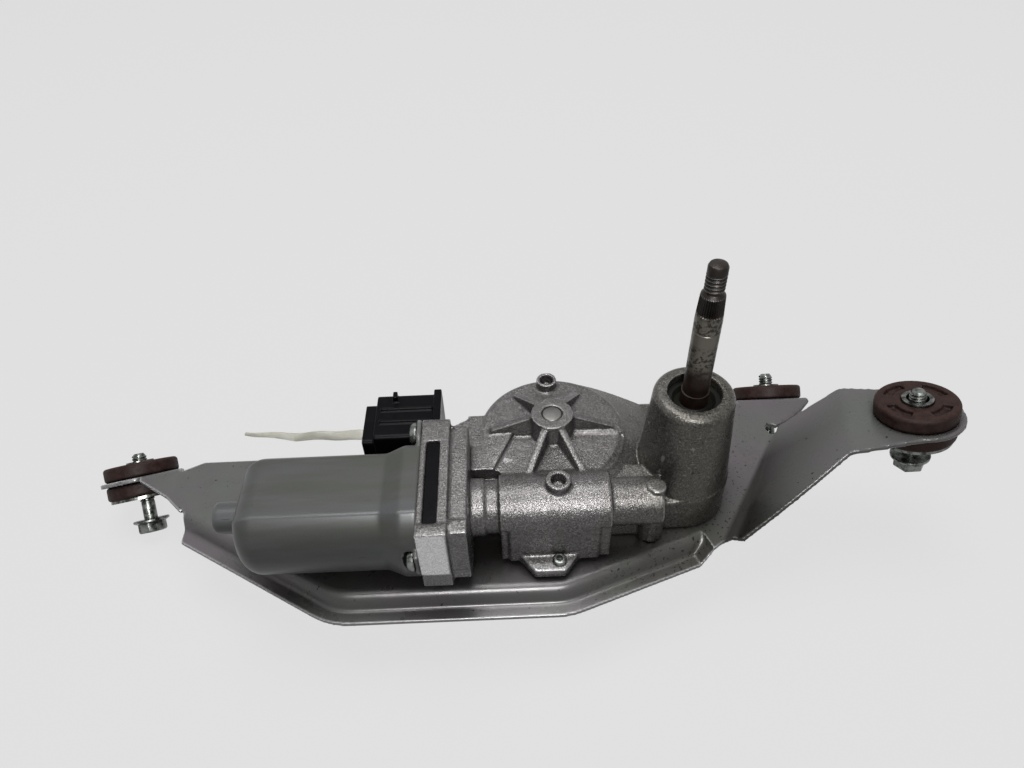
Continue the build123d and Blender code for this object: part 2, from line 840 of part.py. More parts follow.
def wheel_dome():
    """The round top over the wheel, with its boss and ribs."""
    profile = polygon([(0, 0), (case_radius, 0), (case_radius - case_draft, case_top), (boss_radius, case_floor),
                       (boss_radius, boss_top), (0, boss_top)])
    rim = profile.vertices().sort_by(Axis.X).filter_by_position(Axis.Y, case_top - 0.1, case_top + 0.1)[-1]
    profile = fillet(rim, 1.6)
    dome = turned(profile) - Pos(-wheel_x, -wheel_y, 0) * front_fields()
    dome += rod(0, 0, 0, boss_radius, boss_top)
    for turn, reach in zip(rib_angles, rib_reach):
        rib = polygon([(0, case_top - 1.0), (reach + 1.4, case_top - 1.0), (reach, rib_end), (boss_radius, rib_top),
                       (0, rib_top)])
        dome += Rot(0, 0, turn) * extrude(Plane.XZ * rib, amount=rib_width / 2, both=True)
    return Pos(wheel_x, wheel_y, 0) * dome


def worm_block():
    """The arched block over the worm, its necks and the lug at its front."""
    radius = worm_block_radius
    length = worm_block_right_x - worm_block_left_x
    block = bar_x(worm_block_left_x, motor_y, motor_z, radius, length)
    block += box_between((worm_block_left_x, motor_y - radius, worm_block_foot),
                         (worm_block_right_x, motor_y + radius, motor_z))
    for x in (worm_block_left_x, worm_block_right_x - worm_block_notch):
        block -= box_between((x - 1, motor_y - radius - 1, 0),
                             (x + worm_block_notch + (1 if x > worm_block_left_x else 0), motor_y - radius + 0.9, motor_z))
    block += bar_x(worm_collar_x, motor_y, motor_z, worm_collar_radius, worm_block_left_x - worm_collar_x + 1)
    flange_right_x = yoke_front_x + flange_thickness + flange_step
    block += bar_x(flange_right_x - 1, motor_y, motor_z, worm_neck_radius, worm_collar_x - flange_right_x + 1)
    block += bar_x(worm_block_right_x - 1, motor_y, motor_z, worm_end_radius, worm_end_x - worm_block_right_x + 1)
    lug = polygon([(lug_left_x, motor_y), (lug_right_x, motor_y), (lug_right_x, motor_y - radius),
                   (lug_right_x - lug_taper, -lug_reach), (lug_left_x + lug_taper, -lug_reach),
                   (lug_left_x, motor_y - radius)])
    lug = fillet(lug.vertices().group_by(Axis.Y)[0], 1.6)
    return block + slab(lug, lug_foot, lug_height)


def case_flange():
    """The stepped flange that the yoke and the brush holder seat on."""
    low = (motor_y - flange_front, flange_bottom)
    high = (motor_y + flange_back, flange_top)
    pieces = []
    for inset, start, length in ((0, 0, flange_thickness), (flange_inset, flange_thickness, flange_step)):
        outline = polygon([(low[0] + inset + flange_corner, low[1] + inset), (high[0] - inset, low[1] + inset),
                           (high[0] - inset, high[1] - inset), (low[0] + inset, high[1] - inset),
                           (low[0] + inset, low[1] + inset + flange_corner)])
        outline = fillet(outline.vertices(), flange_edge)
        plate = extrude(Plane.YZ * outline, amount=length)
        pieces.append(Pos(yoke_front_x + start, 0, 0) * plate)
    pad = box_between((yoke_front_x, low[0] - flange_pad_depth, flange_pad_foot),
                      (yoke_front_x + flange_thickness, low[0] + 3.4, flange_top + flange_pad_depth))
    pad = fillet(pad.edges().filter_by(Axis.X), flange_edge * 0.7)
    step_pad = Pos(flange_thickness, 0, 0) * box_between(
        (yoke_front_x, low[0] - flange_pad_depth + flange_inset, flange_pad_foot),
        (yoke_front_x + flange_step, low[0] + 5.4, flange_top + flange_pad_depth - flange_inset))
    return pieces[0] + pieces[1] + pad + step_pad


holder_radius = yoke_radius - yoke_wall - 0.6
window_low = window_centre_y - window_length / 2
window_high = window_centre_y + window_length / 2


def gear_case():
    case = slab(round_hull(case_wall), 0, low_case_height)
    case += wheel_dome()
    shoulder_left_x = yoke_front_x + flange_thickness + flange_step - 1
    case += apron()
    case += box_between((shoulder_left_x, shoulder_front, 0),
                        (shoulder_right_x, shoulder_back, case_top - shoulder_sink)) - front_fields()
    case += box_between((plateau_left_x, motor_y, 0), (plateau_right_x, plateau_back_y, plateau_height))
    case += box_between((shoulder_left_x, motor_y + web_back, worm_block_foot),
                        (plateau_right_x, shoulder_front + weld, motor_z))
    case += worm_block()
    case += case_flange()
    case += snout()
    for side in (-1, 1):
        case += rod(screw_boss_x + side * column_spread, screw_boss_y, 0, column_radius, motor_z)
    case += rod(screw_boss_x, screw_boss_y, 0, screw_boss_radius, screw_boss_top)
    case += rod(wheel_x, back_boss_y, 0, back_boss_radius, back_boss_height)
    case += rod(wheel_x - 0.6, back_ring_y, case_top - 1, ring_outer, back_ring_top - case_top + 1)
    case += rod(wheel_x + 0.2, motor_y, motor_z + worm_block_radius - 3, ring_outer + 0.4,
                front_ring_top - motor_z - worm_block_radius + 3)
    case -= rod(wheel_x - 0.6, back_ring_y, back_ring_top - ring_depth, ring_inner, ring_depth + 1)
    case -= rod(wheel_x + 0.2, motor_y, front_ring_top - ring_depth, ring_inner, ring_depth + 1)
    case -= slab(round_hull(0), -1, mechanism_ceiling)
    case -= slab(round_hull(seal_width), -1, cover_thickness + gasket_height)
    case -= rod(wheel_x, wheel_y, -1, wheel_room, wheel_ceiling + 1)
    case -= bar_x(yoke_front_x - 1, motor_y, motor_z, tunnel_radius, end_bearing_x + bearing_length - yoke_front_x + 1)
    case -= bar_x(yoke_front_x - 1, motor_y, motor_z, holder_radius, holder_thickness + 1.4)
    case -= box_between((window_x - window_width / 2, window_low, motor_z + 5),
                        (window_x + window_width / 2, window_high, flange_top + 5))
    case -= bar_x(end_bearing_x + bearing_length - 1, motor_y, motor_z, thrust_pad_radius,
                  thrust_pad_length + 1)
    case -= rod(0, 0, mechanism_ceiling - 1, bush_radius, snout_top)
    case -= rod(0, 0, snout_top - snout_mouth_depth - seal_height - 1.0, snout_mouth_radius, 30)
    case -= rod(wheel_x, wheel_y, mechanism_ceiling, axle_radius, boss_top)
    for x, y in mount_screw_places:
        case -= rod(x, y, -1, mount_screw_radius, mount_screw_length - sheet + 1)
    case -= rod(lug_screw_x, lug_screw_y, 0, small_screw_radius, 20)
    for across, up in (yoke_screw_back, yoke_screw_front):
        case -= bar_x(yoke_front_x - 1, motor_y + across, motor_z + up, yoke_screw_radius, yoke_screw_length - 1)
    return case


def gear_cover():
    cover = slab(round_hull(seal_width - hole_fit), 0, cover_thickness)
    dome = turned(fillet(polygon([(0, 0), (cover_dome_radius, 0), (cover_dome_radius - 1.6, -cover_dome_drop),
                                  (0, -cover_dome_drop)]).vertices().group_by(Axis.Y)[0].sort_by(Axis.X)[-1], 1.2))
    hollow = rod(0, 0, -cover_dome_drop + cover_thickness, cover_dome_radius - 2.8, cover_dome_drop + 1)
    return cover + Pos(wheel_x, wheel_y, 0) * dome - Pos(wheel_x, wheel_y, 0) * hollow


def gear_cover_gasket():
    """Thin frame between the cover and the ledge of the case."""
    outline = round_hull(seal_width - hole_fit) - round_hull(0)
    return slab(outline, cover_thickness, cover_thickness + gasket_height)


def screw_up(x, y, length, radius, head, head_height):
    """A screw whose head is under the bracket."""
    screw = rod(x, y, -sheet, radius - 0.02, length)
    pan = rod(x, y, -sheet - head_height, head, head_height)
    return screw + fillet(pan.edges().group_by(Axis.Z)[0], head_height * 0.4)


def case_screws():
    return [screw_up(x, y, mount_screw_length, mount_screw_radius, mount_screw_head, mount_screw_head_height)
            for x, y in mount_screw_places]


def lug_screw():
    """Small screw down through the lug into the bracket."""
    top = lug_height
    shank = rod(lug_screw_x, lug_screw_y, -sheet - 1.0, small_screw_radius - 0.02, top + sheet + 1.0)
    head = rod(lug_screw_x, lug_screw_y, top, small_screw_head, small_screw_head_height)
    return shank + fillet(head.edges().group_by(Axis.Z)[-1], small_screw_head_height * 0.4)


def yoke_form(shrink, end_inset):
    """The yoke's outside, or its inside when shrunk by the wall."""
    start = yoke_front_x - yoke_length + end_inset
    radius = yoke_radius - shrink
    flat_half = yoke_flat - shrink
    flare_start = yoke_front_x - yoke_flare_length
    flare_end = flare_start + yoke_flare * 2.4
    end_round = yoke_end_round - shrink

    def side(half, grown):
        """Half outline along the motor, from its axis."""
        line = Polyline((start, 0), (start, half), (flare_start, half), (flare_end, half + grown),
                        (yoke_front_x, half + grown), (yoke_front_x, 0), close=True)
        face = make_face(line)
        corners = face.vertices()
        end_corner = corners.sort_by(Axis.X).filter_by_position(Axis.Y, half - 0.01, half + 0.01)[0]
        face = fillet(end_corner, end_round)
        bends = [v for v in face.vertices() if flare_start - 0.1 < v.X < flare_end + 0.1 and v.Y > 1]
        return fillet(bends, yoke_flare)

    barrel = revolve(Plane.XZ * side(radius, yoke_flare), Axis.X)
    upper = Plane.XZ * side(flat_half, yoke_flare * 0.8)
    wide = radius + yoke_flare + 1
    slab_upper = extrude(upper, amount=wide, both=True)
    slab_lower = mirror(slab_upper, Plane.XY)
    form = Pos(0, motor_y, motor_z) * (barrel & (slab_upper + slab_lower))
    pocket_length = yoke_flange + yoke_screw_head_height + face_gap + shrink
    for across, up in (yoke_screw_back, yoke_screw_front):
        form -= bar_x(yoke_front_x - pocket_length, motor_y + across, motor_z + up,
                      yoke_screw_head + face_gap + shrink, pocket_length + 1)
    return form


def flange_face(inset):
    """The rectangle of the case's flange, seen along the motor and measured from its axis."""
    width = flange_back + flange_front - inset * 2
    height = flange_top - flange_bottom - inset * 2
    return Pos((flange_back - flange_front) / 2, (flange_top + flange_bottom) / 2 - motor_z) * Rectangle(width, height)


cup_floor_x = yoke_front_x - yoke_length - yoke_cup_length + yoke_cup_wall
rear_bearing_radius = yoke_cup_radius - yoke_cup_wall - 0.02
rear_bearing_x = cup_floor_x + rotor_end_gap + 0.4


def motor_yoke():
    yoke = yoke_form(0, 0)
    start = yoke_front_x - yoke_length
    cup = bar_x(start - yoke_cup_length, motor_y, motor_z, yoke_cup_radius, yoke_cup_length + 3)
    cup = fillet(cup.edges().group_by(Axis.X)[0], 1.2)
    yoke += cup
    for across, up in (yoke_screw_back, yoke_screw_front):
        length = math.hypot(across, up)
        turn = math.degrees(math.atan2(up, across))
        ear = Pos(length, 0) * Circle(yoke_ear) + Pos(length / 2, 0) * Rectangle(length, yoke_ear * 2)
        ear = Rot(0, 0, turn) * ear & flange_face(hole_fit)
        plate = extrude(Plane.YZ * ear, amount=yoke_flange)
        yoke += Pos(yoke_front_x - yoke_flange, motor_y, motor_z) * plate
    yoke -= yoke_form(yoke_wall, yoke_wall)
    yoke -= bar_x(cup_floor_x, motor_y, motor_z, yoke_cup_radius - yoke_cup_wall, yoke_cup_length + 2)
    for across, up in (yoke_screw_back, yoke_screw_front):
        yoke -= bar_x(yoke_front_x - 5, motor_y + across, motor_z + up, yoke_screw_radius + 0.15, 8)
    return yoke


def yoke_screws():
    screws = []
    seat_x = yoke_front_x - yoke_flange
    for across, up in (yoke_screw_back, yoke_screw_front):
        y = motor_y + across
        z = motor_z + up
        head = bar_x(seat_x - yoke_screw_head_height, y, z, yoke_screw_head, yoke_screw_head_height)
        head = fillet(head.edges().group_by(Axis.X)[0], yoke_screw_head_height * 0.45)
        screws.append(head + bar_x(seat_x, y, z, yoke_screw_radius - 0.02, yoke_screw_length - 2.5))
    return screws


armature_left_x = yoke_front_x - yoke_length + armature_rear_gap
armature_length = commutator_left_x - winding_gap - winding_length - armature_left_x


def magnets():
    outer = yoke_radius - yoke_wall - hole_fit
    length = armature_length + magnet_overhang * 2
    ring = Circle(outer) - Circle(magnet_inner)
    pieces = []
    for turn in (0, 180):
        reach = outer * 1.5
        wedge = polygon([(0, 0), along((0, 0), heading(turn - magnet_half_angle), reach * 1.2),
                         along((0, 0), heading(turn + magnet_half_angle), reach * 1.2)])
        arc = ring & wedge & Rectangle(yoke_radius * 2, (yoke_flat - yoke_wall - hole_fit) * 2)
        solid = extrude(Plane.YZ * arc, amount=length)
        pieces.append(Pos(armature_left_x - magnet_overhang, motor_y, motor_z) * solid)
    return pieces


def bearing(x, radius):
    ring = bar_x(x, motor_y, motor_z, radius, bearing_length)
    return ring - bar_x(x - 1, motor_y, motor_z, rotor_shaft_radius + hole_fit, bearing_length + 2)


def thrust_pad():
    return bar_x(end_bearing_x + bearing_length, motor_y, motor_z, thrust_pad_radius - 0.02, thrust_pad_length)


def armature_shaft():
    end = end_bearing_x + bearing_length - 0.1
    start = cup_floor_x + rotor_end_gap
    shaft = bar_x(start, motor_y, motor_z, rotor_shaft_radius, end - start)
    worm = bar_x(worm_centre_x - worm_length / 2, motor_y, motor_z, worm_root, worm_length)
    return shaft + worm


def armature_core():
    section = Circle(armature_radius) - Circle(rotor_shaft_radius + 0.01)
    for slot in range(armature_slots):
        cut = Pos(armature_radius - 2.6, 0) * Rectangle(5.6, 1.4) + Pos(armature_radius - 4.6, 0) * Circle(1.9)
        section -= Rot(0, 0, slot * 360 / armature_slots) * cut
    core = extrude(Plane.YZ * section, amount=armature_length)
    return Pos(armature_left_x, motor_y, motor_z) * core


def armature_winding():
    """The two end turns of the winding, one at each end of the core."""
    ends = []
    for x in (armature_left_x - winding_length, armature_left_x + armature_length):
        turns = bar_x(x, motor_y, motor_z, winding_radius, winding_length)
        turns = fillet(turns.edges(), winding_length * 0.36)
        ends.append(turns - bar_x(x - 1, motor_y, motor_z, rotor_shaft_radius + 0.01, winding_length + 2))
    return ends


def commutator():
    section = Circle(commutator_radius) - Circle(rotor_shaft_radius + 0.01)
    for bar in range(commutator_bars):
        turn = (bar + 0.5) * 360 / commutator_bars
        section -= Rot(0, 0, turn) * Pos(commutator_radius, 0) * Rectangle(1.2, 0.5)
    return Pos(commutator_left_x, motor_y, motor_z) * extrude(Plane.YZ * section, amount=commutator_length)


def sideways(side, near, far):
    """The span between two distances from the motor axis, to the back or to the front."""
    return sorted((motor_y + side * near, motor_y + side * far))


def brush_holder():
    start = yoke_front_x + 0.1
    plate = bar_x(start, motor_y, motor_z, holder_radius - 0.1, holder_thickness)
    plate += box_between((window_x - window_width / 2 + 0.1, window_low + 0.1, motor_z + 5.1),
                         (window_x + window_width / 2 - 0.1, window_high - 0.1, flange_top - 1.0))
    plate -= bar_x(start - 1, motor_y, motor_z, holder_inner, holder_thickness + 5)
    for side in (-1, 1):
        wide = brush_width / 2 + brush_box_wall
        tall = brush_height / 2 + brush_box_wall
        low_y, high_y = sideways(side, commutator_radius + 1.6, brush_reach)
        plate += box_between((brush_x - wide, low_y, motor_z - tall), (start + 0.5, high_y, motor_z + tall))
        low_y, high_y = sideways(side, commutator_radius, brush_reach - brush_box_wall)
        plate -= box_between((brush_x - brush_width / 2, low_y, motor_z - brush_height / 2),
                             (brush_x + brush_width / 2, high_y, motor_z + brush_height / 2))
    return plate


def brushes():
    pieces = []
    for side in (-1, 1):
        near = commutator_radius + face_gap
        low_y, high_y = sideways(side, near, near + brush_length)
        fit = hole_fit
        pieces.append(box_between((brush_x - brush_width / 2 + fit, low_y, motor_z - brush_height / 2 + fit),
                                  (brush_x + brush_width / 2 - fit, high_y, motor_z + brush_height / 2 - fit)))
    return pieces


def brush_springs():
    """A folded leaf spring behind each brush."""
    near = commutator_radius + face_gap + brush_length
    far = brush_reach - brush_box_wall
    pitch = (far - near - spring_leaf) / spring_folds
    section = Sketch()
    for fold in range(spring_folds):
        start = spring_half * (-1) ** fold
        low = fold * pitch
        section += polygon([(start, low), (-start, low + pitch), (-start, low + pitch + spring_leaf),
                            (start, low + spring_leaf)])
    leaf = extrude(section, amount=spring_width / 2, both=True)
    return [Pos(brush_x, motor_y + side * near, motor_z) * Rot(0, 0, 0 if side > 0 else 180) * leaf
            for side in (-1, 1)]


def park_contacts():
    """Leaf contacts on the ceiling of the gear case that run on the wheel's brass ring."""
    run = wheel_module * wheel_teeth / 2 - 2.5
    strips = []
    for contact in range(park_count):
        turn = 150 + 22 * contact
        strip = box_between((run - 5.0, -1.2, wheel_ceiling - park_strip), (run + 1.0, 1.2, wheel_ceiling))
        strip += rod(run, 0, wheel_ceiling - park_height, 0.6, park_height)
        strips.append(Pos(wheel_x, wheel_y, 0) * Rot(0, 0, turn) * strip)
    return strips


def plug_box():
    return box_between((plug_left_x, plug_front_y, plug_bottom), (plug_right_x, plug_back_y, plug_top))


def connector_housing():
    """The socket that opens to the left, with its collar, ribs, end wall and peg."""
    housing = fillet(plug_box().edges().filter_by(Axis.X), plug_round)
    rim = box_between((plug_left_x - plug_rim, plug_front_y + 0.8, plug_bottom + plug_rim_step),
                      (plug_left_x, plug_back_y - 1.4, plug_top - plug_rim_step))
    housing += fillet(rim.edges().filter_by(Axis.X), plug_round)
    wall_x = plug_right_x - plug_rib
    housing += box_between((wall_x, plug_front_y + 3, plug_top - 4),
                           (plug_right_x, plug_back_y - 0.4, plug_top + plug_rib_rise))
    housing += box_between((plug_left_x + 5.6, plug_back_y - 2 * plug_peg - 0.8, plug_top - 1),
                           (plug_left_x + 5.6 + plug_peg, plug_back_y - 0.8, plug_top + plug_rib_rise))
    for y in (plug_front_y + 6.4, plug_front_y + 12.0):
        housing += box_between((plug_left_x + 1.6, y, plug_top - 1), (wall_x, y + 1.2, plug_top + 0.9))
    housing += box_between((yoke_front_x, motor_y + flange_back, plug_bottom + 6),
                           (plug_right_x, plug_front_y + 1, plug_top - 4))
    mouth = box_between((plug_left_x - plug_rim - 1, plug_front_y + 0.8 + plug_wall,
                         plug_bottom + plug_rim_step + plug_wall),
                        (plug_floor_x, plug_back_y - 1.4 - plug_wall, plug_top - plug_rim_step - plug_wall))
    return housing - mouth


def connector_pins():
    pins = []
    span = plug_back_y - plug_front_y
    height = (plug_top + plug_bottom) / 2
    for pin in range(pin_count):
        y = plug_front_y + span * (pin + 1) / (pin_count + 1)
        pins.append(box_between((plug_floor_x - pin_length, y - pin_side / 2, height - pin_side / 2),
                                (plug_floor_x, y + pin_side / 2, height + pin_side / 2)))
    return pins


def cable_tie():
    """Flat tail that tapers to its tip, left of the connector."""
    root_x = plug_left_x - plug_rim
    tip_x = root_x - tie_length
    outline = polygon([(root_x, tie_z - tie_width / 2), (root_x, tie_z + tie_width / 2),
                       (root_x - tie_length * 0.55, tie_z + tie_width * 0.36 + tie_rise * 0.25),
                       (tip_x, tie_z + tie_tip / 2 + tie_rise), (tip_x, tie_z - tie_tip / 2 + tie_rise),
                       (root_x - tie_length * 0.6, tie_z - tie_width * 0.22)])
    strip = extrude(Plane.XZ * outline, amount=tie_thickness / 2, both=True)
    return Pos(0, tie_y, 0) * strip


def wheel_axle():
    bottom = wheel_bottom - crank_boss_height + 0.2
    axle = rod(wheel_x, wheel_y, bottom, axle_radius - 0.02, boss_top - bottom)
    return axle


def bush(z):
    ring = rod(0, 0, z, bush_radius - 0.02, bush_length)
    return ring - rod(0, 0, z - weld, journal_radius + hole_fit, bush_length + weld * 2)


def shaft_seal():
    bottom = snout_top - snout_mouth_depth - seal_height
    inner = journal_radius + hole_fit
    outer = snout_mouth_radius - hole_fit
    top = bottom + seal_height
    seal = polygon([(inner, bottom), (outer, bottom), (outer, top), (outer - seal_rim, top),
                    (inner + seal_rim, top - seal_rim), (inner, top - seal_lip)])
    return turned(seal)


def output_shaft():
    thread_foot = shaft_top - thread_length
    spline_foot = thread_foot - spline_length
    journal_top = snout_top + journal_stand
    profile = polygon([(0, shaft_bottom), (journal_radius, shaft_bottom), (journal_radius, journal_top),
                       (shaft_radius, journal_top), (shaft_radius, spline_foot), (spline_radius, thread_foot),
                       (thread_radius, thread_foot), (thread_radius, shaft_top - shaft_point),
                       (thread_radius - shaft_point, shaft_top), (0, shaft_top)])
    return turned(profile)


def shaft_washer():
    washer = rod(0, 0, pinion_bottom - washer_height, washer_radius, washer_height)
    return washer - rod(0, 0, 0, journal_radius + press_fit, through)


save("mounting_bracket", mounting_bracket())
for side, place in (("left", left_seat), ("middle", middle_seat), ("right", right_seat)):
    lift = middle_bolt_lift if side == "middle" else 0
    save(f"grommet_{side}", place.location * grommet())
    save(f"collar_{side}", place.location * collar())
    save(f"bolt_{side}", place.location * Pos(0, 0, lift) * captive_bolt())
save("gear_case", gear_case())
save("gear_cover", gear_cover())
save("gear_cover_gasket", gear_cover_gasket())
save("case_screws", Compound(case_screws()))
save("lug_screw", lug_screw())
save("motor_yoke", motor_yoke())
save("yoke_screws", Compound(yoke_screws()))
save("magnets", Compound(magnets()))
save("rear_bearing", bearing(rear_bearing_x, rear_bearing_radius))
save("front_bearing", bearing(front_bearing_x, tunnel_radius - 0.02))
save("end_bearing", bearing(end_bearing_x, tunnel_radius - 0.02))
save("thrust_pad", thrust_pad())
save("armature_shaft", armature_shaft())
save("armature_core", armature_core())
save("armature_winding", Compound(armature_winding()))
save("commutator", commutator())
save("brush_holder", brush_holder())
save("brushes", Compound(brushes()))
save("brush_springs", Compound(brush_springs()))
save("park_contacts", Compound(park_contacts()))
save("connector_housing", connector_housing())
save("connector_pins", Compound(connector_pins()))
save("cable_tie", cable_tie())
save("wheel_axle", wheel_axle())
save("lower_bush", bush(lower_bush_z))
save("upper_bush", bush(upper_bush_z))
save("shaft_seal", shaft_seal())
save("output_shaft", output_shaft())
save("output_pinion", output_pinion())
save("shaft_washer", shaft_washer())
save("worm_wheel", worm_wheel())
save("contact_plate", contact_plate())
save("sector_link", sector_link())
save("crank_pin", crank_pin())
save("holding_lever", holding_lever())
save("lever_pin", lever_pin())
print("output swing", round(output_swing, 3), "lever", round(lever_swing, 3), "link", round(link_swing, 3))
for side, place in (("left", left_seat), ("middle", middle_seat), ("right", right_seat)):
    print(side, "seat", [round(v, 3) for v in place.origin], "normal", [round(v, 4) for v in place.z_dir])
print("lever pin", [round(v, 3) for v in pin_rest])
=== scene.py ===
import json
import math

import bpy
from mathutils import Euler, Matrix, Vector

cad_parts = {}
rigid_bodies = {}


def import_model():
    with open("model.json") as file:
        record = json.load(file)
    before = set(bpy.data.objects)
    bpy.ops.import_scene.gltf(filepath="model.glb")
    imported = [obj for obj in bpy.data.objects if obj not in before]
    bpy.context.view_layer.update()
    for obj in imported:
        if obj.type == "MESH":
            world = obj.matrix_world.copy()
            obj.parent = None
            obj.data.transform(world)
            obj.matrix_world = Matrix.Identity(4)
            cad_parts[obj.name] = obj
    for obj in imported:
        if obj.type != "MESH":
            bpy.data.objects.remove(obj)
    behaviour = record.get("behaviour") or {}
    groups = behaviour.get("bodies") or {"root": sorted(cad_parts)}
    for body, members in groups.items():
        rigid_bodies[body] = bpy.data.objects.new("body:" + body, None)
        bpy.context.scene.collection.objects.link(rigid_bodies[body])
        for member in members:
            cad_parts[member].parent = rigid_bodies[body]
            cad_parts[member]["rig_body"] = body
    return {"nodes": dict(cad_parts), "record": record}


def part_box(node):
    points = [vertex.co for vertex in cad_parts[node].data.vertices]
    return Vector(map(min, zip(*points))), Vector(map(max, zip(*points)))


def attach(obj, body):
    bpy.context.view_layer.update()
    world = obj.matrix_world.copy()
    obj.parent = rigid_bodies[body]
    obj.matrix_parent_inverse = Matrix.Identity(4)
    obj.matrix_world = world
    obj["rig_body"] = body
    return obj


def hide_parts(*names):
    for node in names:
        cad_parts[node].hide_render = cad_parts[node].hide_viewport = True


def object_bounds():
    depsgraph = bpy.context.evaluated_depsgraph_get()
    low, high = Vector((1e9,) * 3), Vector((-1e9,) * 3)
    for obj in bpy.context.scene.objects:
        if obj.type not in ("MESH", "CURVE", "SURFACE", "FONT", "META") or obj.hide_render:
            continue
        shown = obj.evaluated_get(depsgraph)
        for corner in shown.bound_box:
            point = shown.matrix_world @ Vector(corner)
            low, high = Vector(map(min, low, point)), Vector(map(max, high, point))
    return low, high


for leftover in list(bpy.data.objects):
    bpy.data.objects.remove(leftover)

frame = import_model()
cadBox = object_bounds()
nodes = frame["nodes"]
mm = 0.001


def deselectAll():
    for thing in bpy.context.selected_objects:
        thing.select_set(False)


deselectAll()
print("frame loaded:", len(nodes), "nodes")

view = {
    "place": (-55 * mm, -165 * mm, 216 * mm),
    "tilt": 45.7,  # degrees up from looking straight down
    "roll": -2.4,
    "lens": 27.42,
    "sensor": 36,
    "nearest": 10 * mm,
}


def makeCamera():
    data = bpy.data.cameras.new("photoCamera")
    data.lens = view["lens"]
    data.sensor_width = view["sensor"]
    data.sensor_fit = "HORIZONTAL"
    data.clip_start = view["nearest"]
    camera = bpy.data.objects.new("photoCamera", data)
    turn = Euler((math.radians(view["tilt"]), 0, 0)).to_matrix().to_4x4()
    roll = Matrix.Rotation(math.radians(view["roll"]), 4, "Z")
    camera.matrix_world = Matrix.Translation(view["place"]) @ turn @ roll
    bpy.context.scene.collection.objects.link(camera)
    bpy.context.scene.camera = camera


room = {
    "floorSize": 6.0,
    "floorGap": 0.0002,  # between the floor and the part, in metres
    "backdropColour": (1.0, 1.0, 1.0),
    "farColour": (0.745, 0.745, 0.745),
    "floorColour": (0.15, 0.15, 0.15),
    "shadowShare": 0.3,  # how much of the floor's own shading the camera sees
    "worldColour": (0.75, 0.77, 0.8),
    "worldStrength": 0.07,
}


def seenDirectly(tree):
    # 1 for what the camera sees, also in metal or through glass, 0 for what only lights the part
    path = tree.nodes.new("ShaderNodeLightPath")
    seen = path.outputs["Is Camera Ray"]
    for ray in ("Is Glossy Ray", "Is Transmission Ray"):
        either = tree.nodes.new("ShaderNodeMath")
        either.operation = "MAXIMUM"
        tree.links.new(seen, either.inputs[0])
        tree.links.new(path.outputs[ray], either.inputs[1])
        seen = either.outputs[0]
    return seen


def makeFloor():
    level = cadBox[0].z - room["floorGap"]
    bpy.ops.mesh.primitive_plane_add(size=room["floorSize"], location=(0, 0, level))
    floor = bpy.context.object
    floor.name = "studioFloor"
    material = bpy.data.materials.new("studioFloor")
    material.use_nodes = True
    tree = material.node_tree
    tree.nodes.clear()
    out = tree.nodes.new("ShaderNodeOutputMaterial")
    plain = tree.nodes.new("ShaderNodeBsdfDiffuse")
    plain.inputs["Color"].default_value = (*room["floorColour"], 1)
    glow = tree.nodes.new("ShaderNodeEmission")
    glow.inputs["Color"].default_value = (*room["backdropColour"], 1)
    share = tree.nodes.new("ShaderNodeMath")
    share.operation = "MULTIPLY"
    share.inputs[1].default_value = 1 - room["shadowShare"]
    tree.links.new(seenDirectly(tree), share.inputs[0])
    mix = tree.nodes.new("ShaderNodeMixShader")
    tree.links.new(share.outputs[0], mix.inputs["Fac"])
    tree.links.new(plain.outputs[0], mix.inputs[1])
    tree.links.new(glow.outputs[0], mix.inputs[2])
    tree.links.new(mix.outputs[0], out.inputs["Surface"])
    floor.data.materials.append(material)


def makeWorld():
    world = bpy.data.worlds.new("studio")
    world.use_nodes = True
    tree = world.node_tree
    tree.nodes.clear()
    out = tree.nodes.new("ShaderNodeOutputWorld")
    sky = tree.nodes.new("ShaderNodeBackground")
    sky.inputs["Color"].default_value = (*room["worldColour"], 1)
    sky.inputs["Strength"].default_value = room["worldStrength"]
    wall = tree.nodes.new("ShaderNodeBackground")
    wall.inputs["Color"].default_value = (*room["farColour"], 1)
    mix = tree.nodes.new("ShaderNodeMixShader")
    tree.links.new(seenDirectly(tree), mix.inputs["Fac"])
    tree.links.new(sky.outputs[0], mix.inputs[1])
    tree.links.new(wall.outputs[0], mix.inputs[2])
    tree.links.new(mix.outputs[0], out.inputs["Surface"])
    bpy.context.scene.world = world


lamps = {
    # name: place in metres, aim, size in metres, watts, whether it lights matt surfaces too
    "overheadLamp": ((-0.12, 0.14, 0.95), (-0.03, 0, 0), 0.55, 9.4, True),
    "frontLamp": ((-0.05, -0.44, 0.5), (-0.03, 0, 0.01), 0.12, 1.15, True),
    "glintLamp": ((-0.05, -0.44, 0.5), (-0.03, 0, 0.01), 0.2, 5.2, False),
}


def makeLamps():
    for name, (place, aim, size, watts, onMatt) in lamps.items():
        data = bpy.data.lights.new(name, "AREA")
        data.shape = "SQUARE"
        data.size = size
        data.energy = watts
        lamp = bpy.data.objects.new(name, data)
        lamp.visible_diffuse = onMatt
        lamp.location = place
        lamp.rotation_euler = (Vector(aim) - Vector(place)).to_track_quat("-Z", "Y").to_euler()
        bpy.context.scene.collection.objects.link(lamp)


bpy.context.scene.view_settings.view_transform = "Standard"
makeCamera()
makeFloor()
makeWorld()
makeLamps()
deselectAll()
print("camera, floor and lamps are in place")


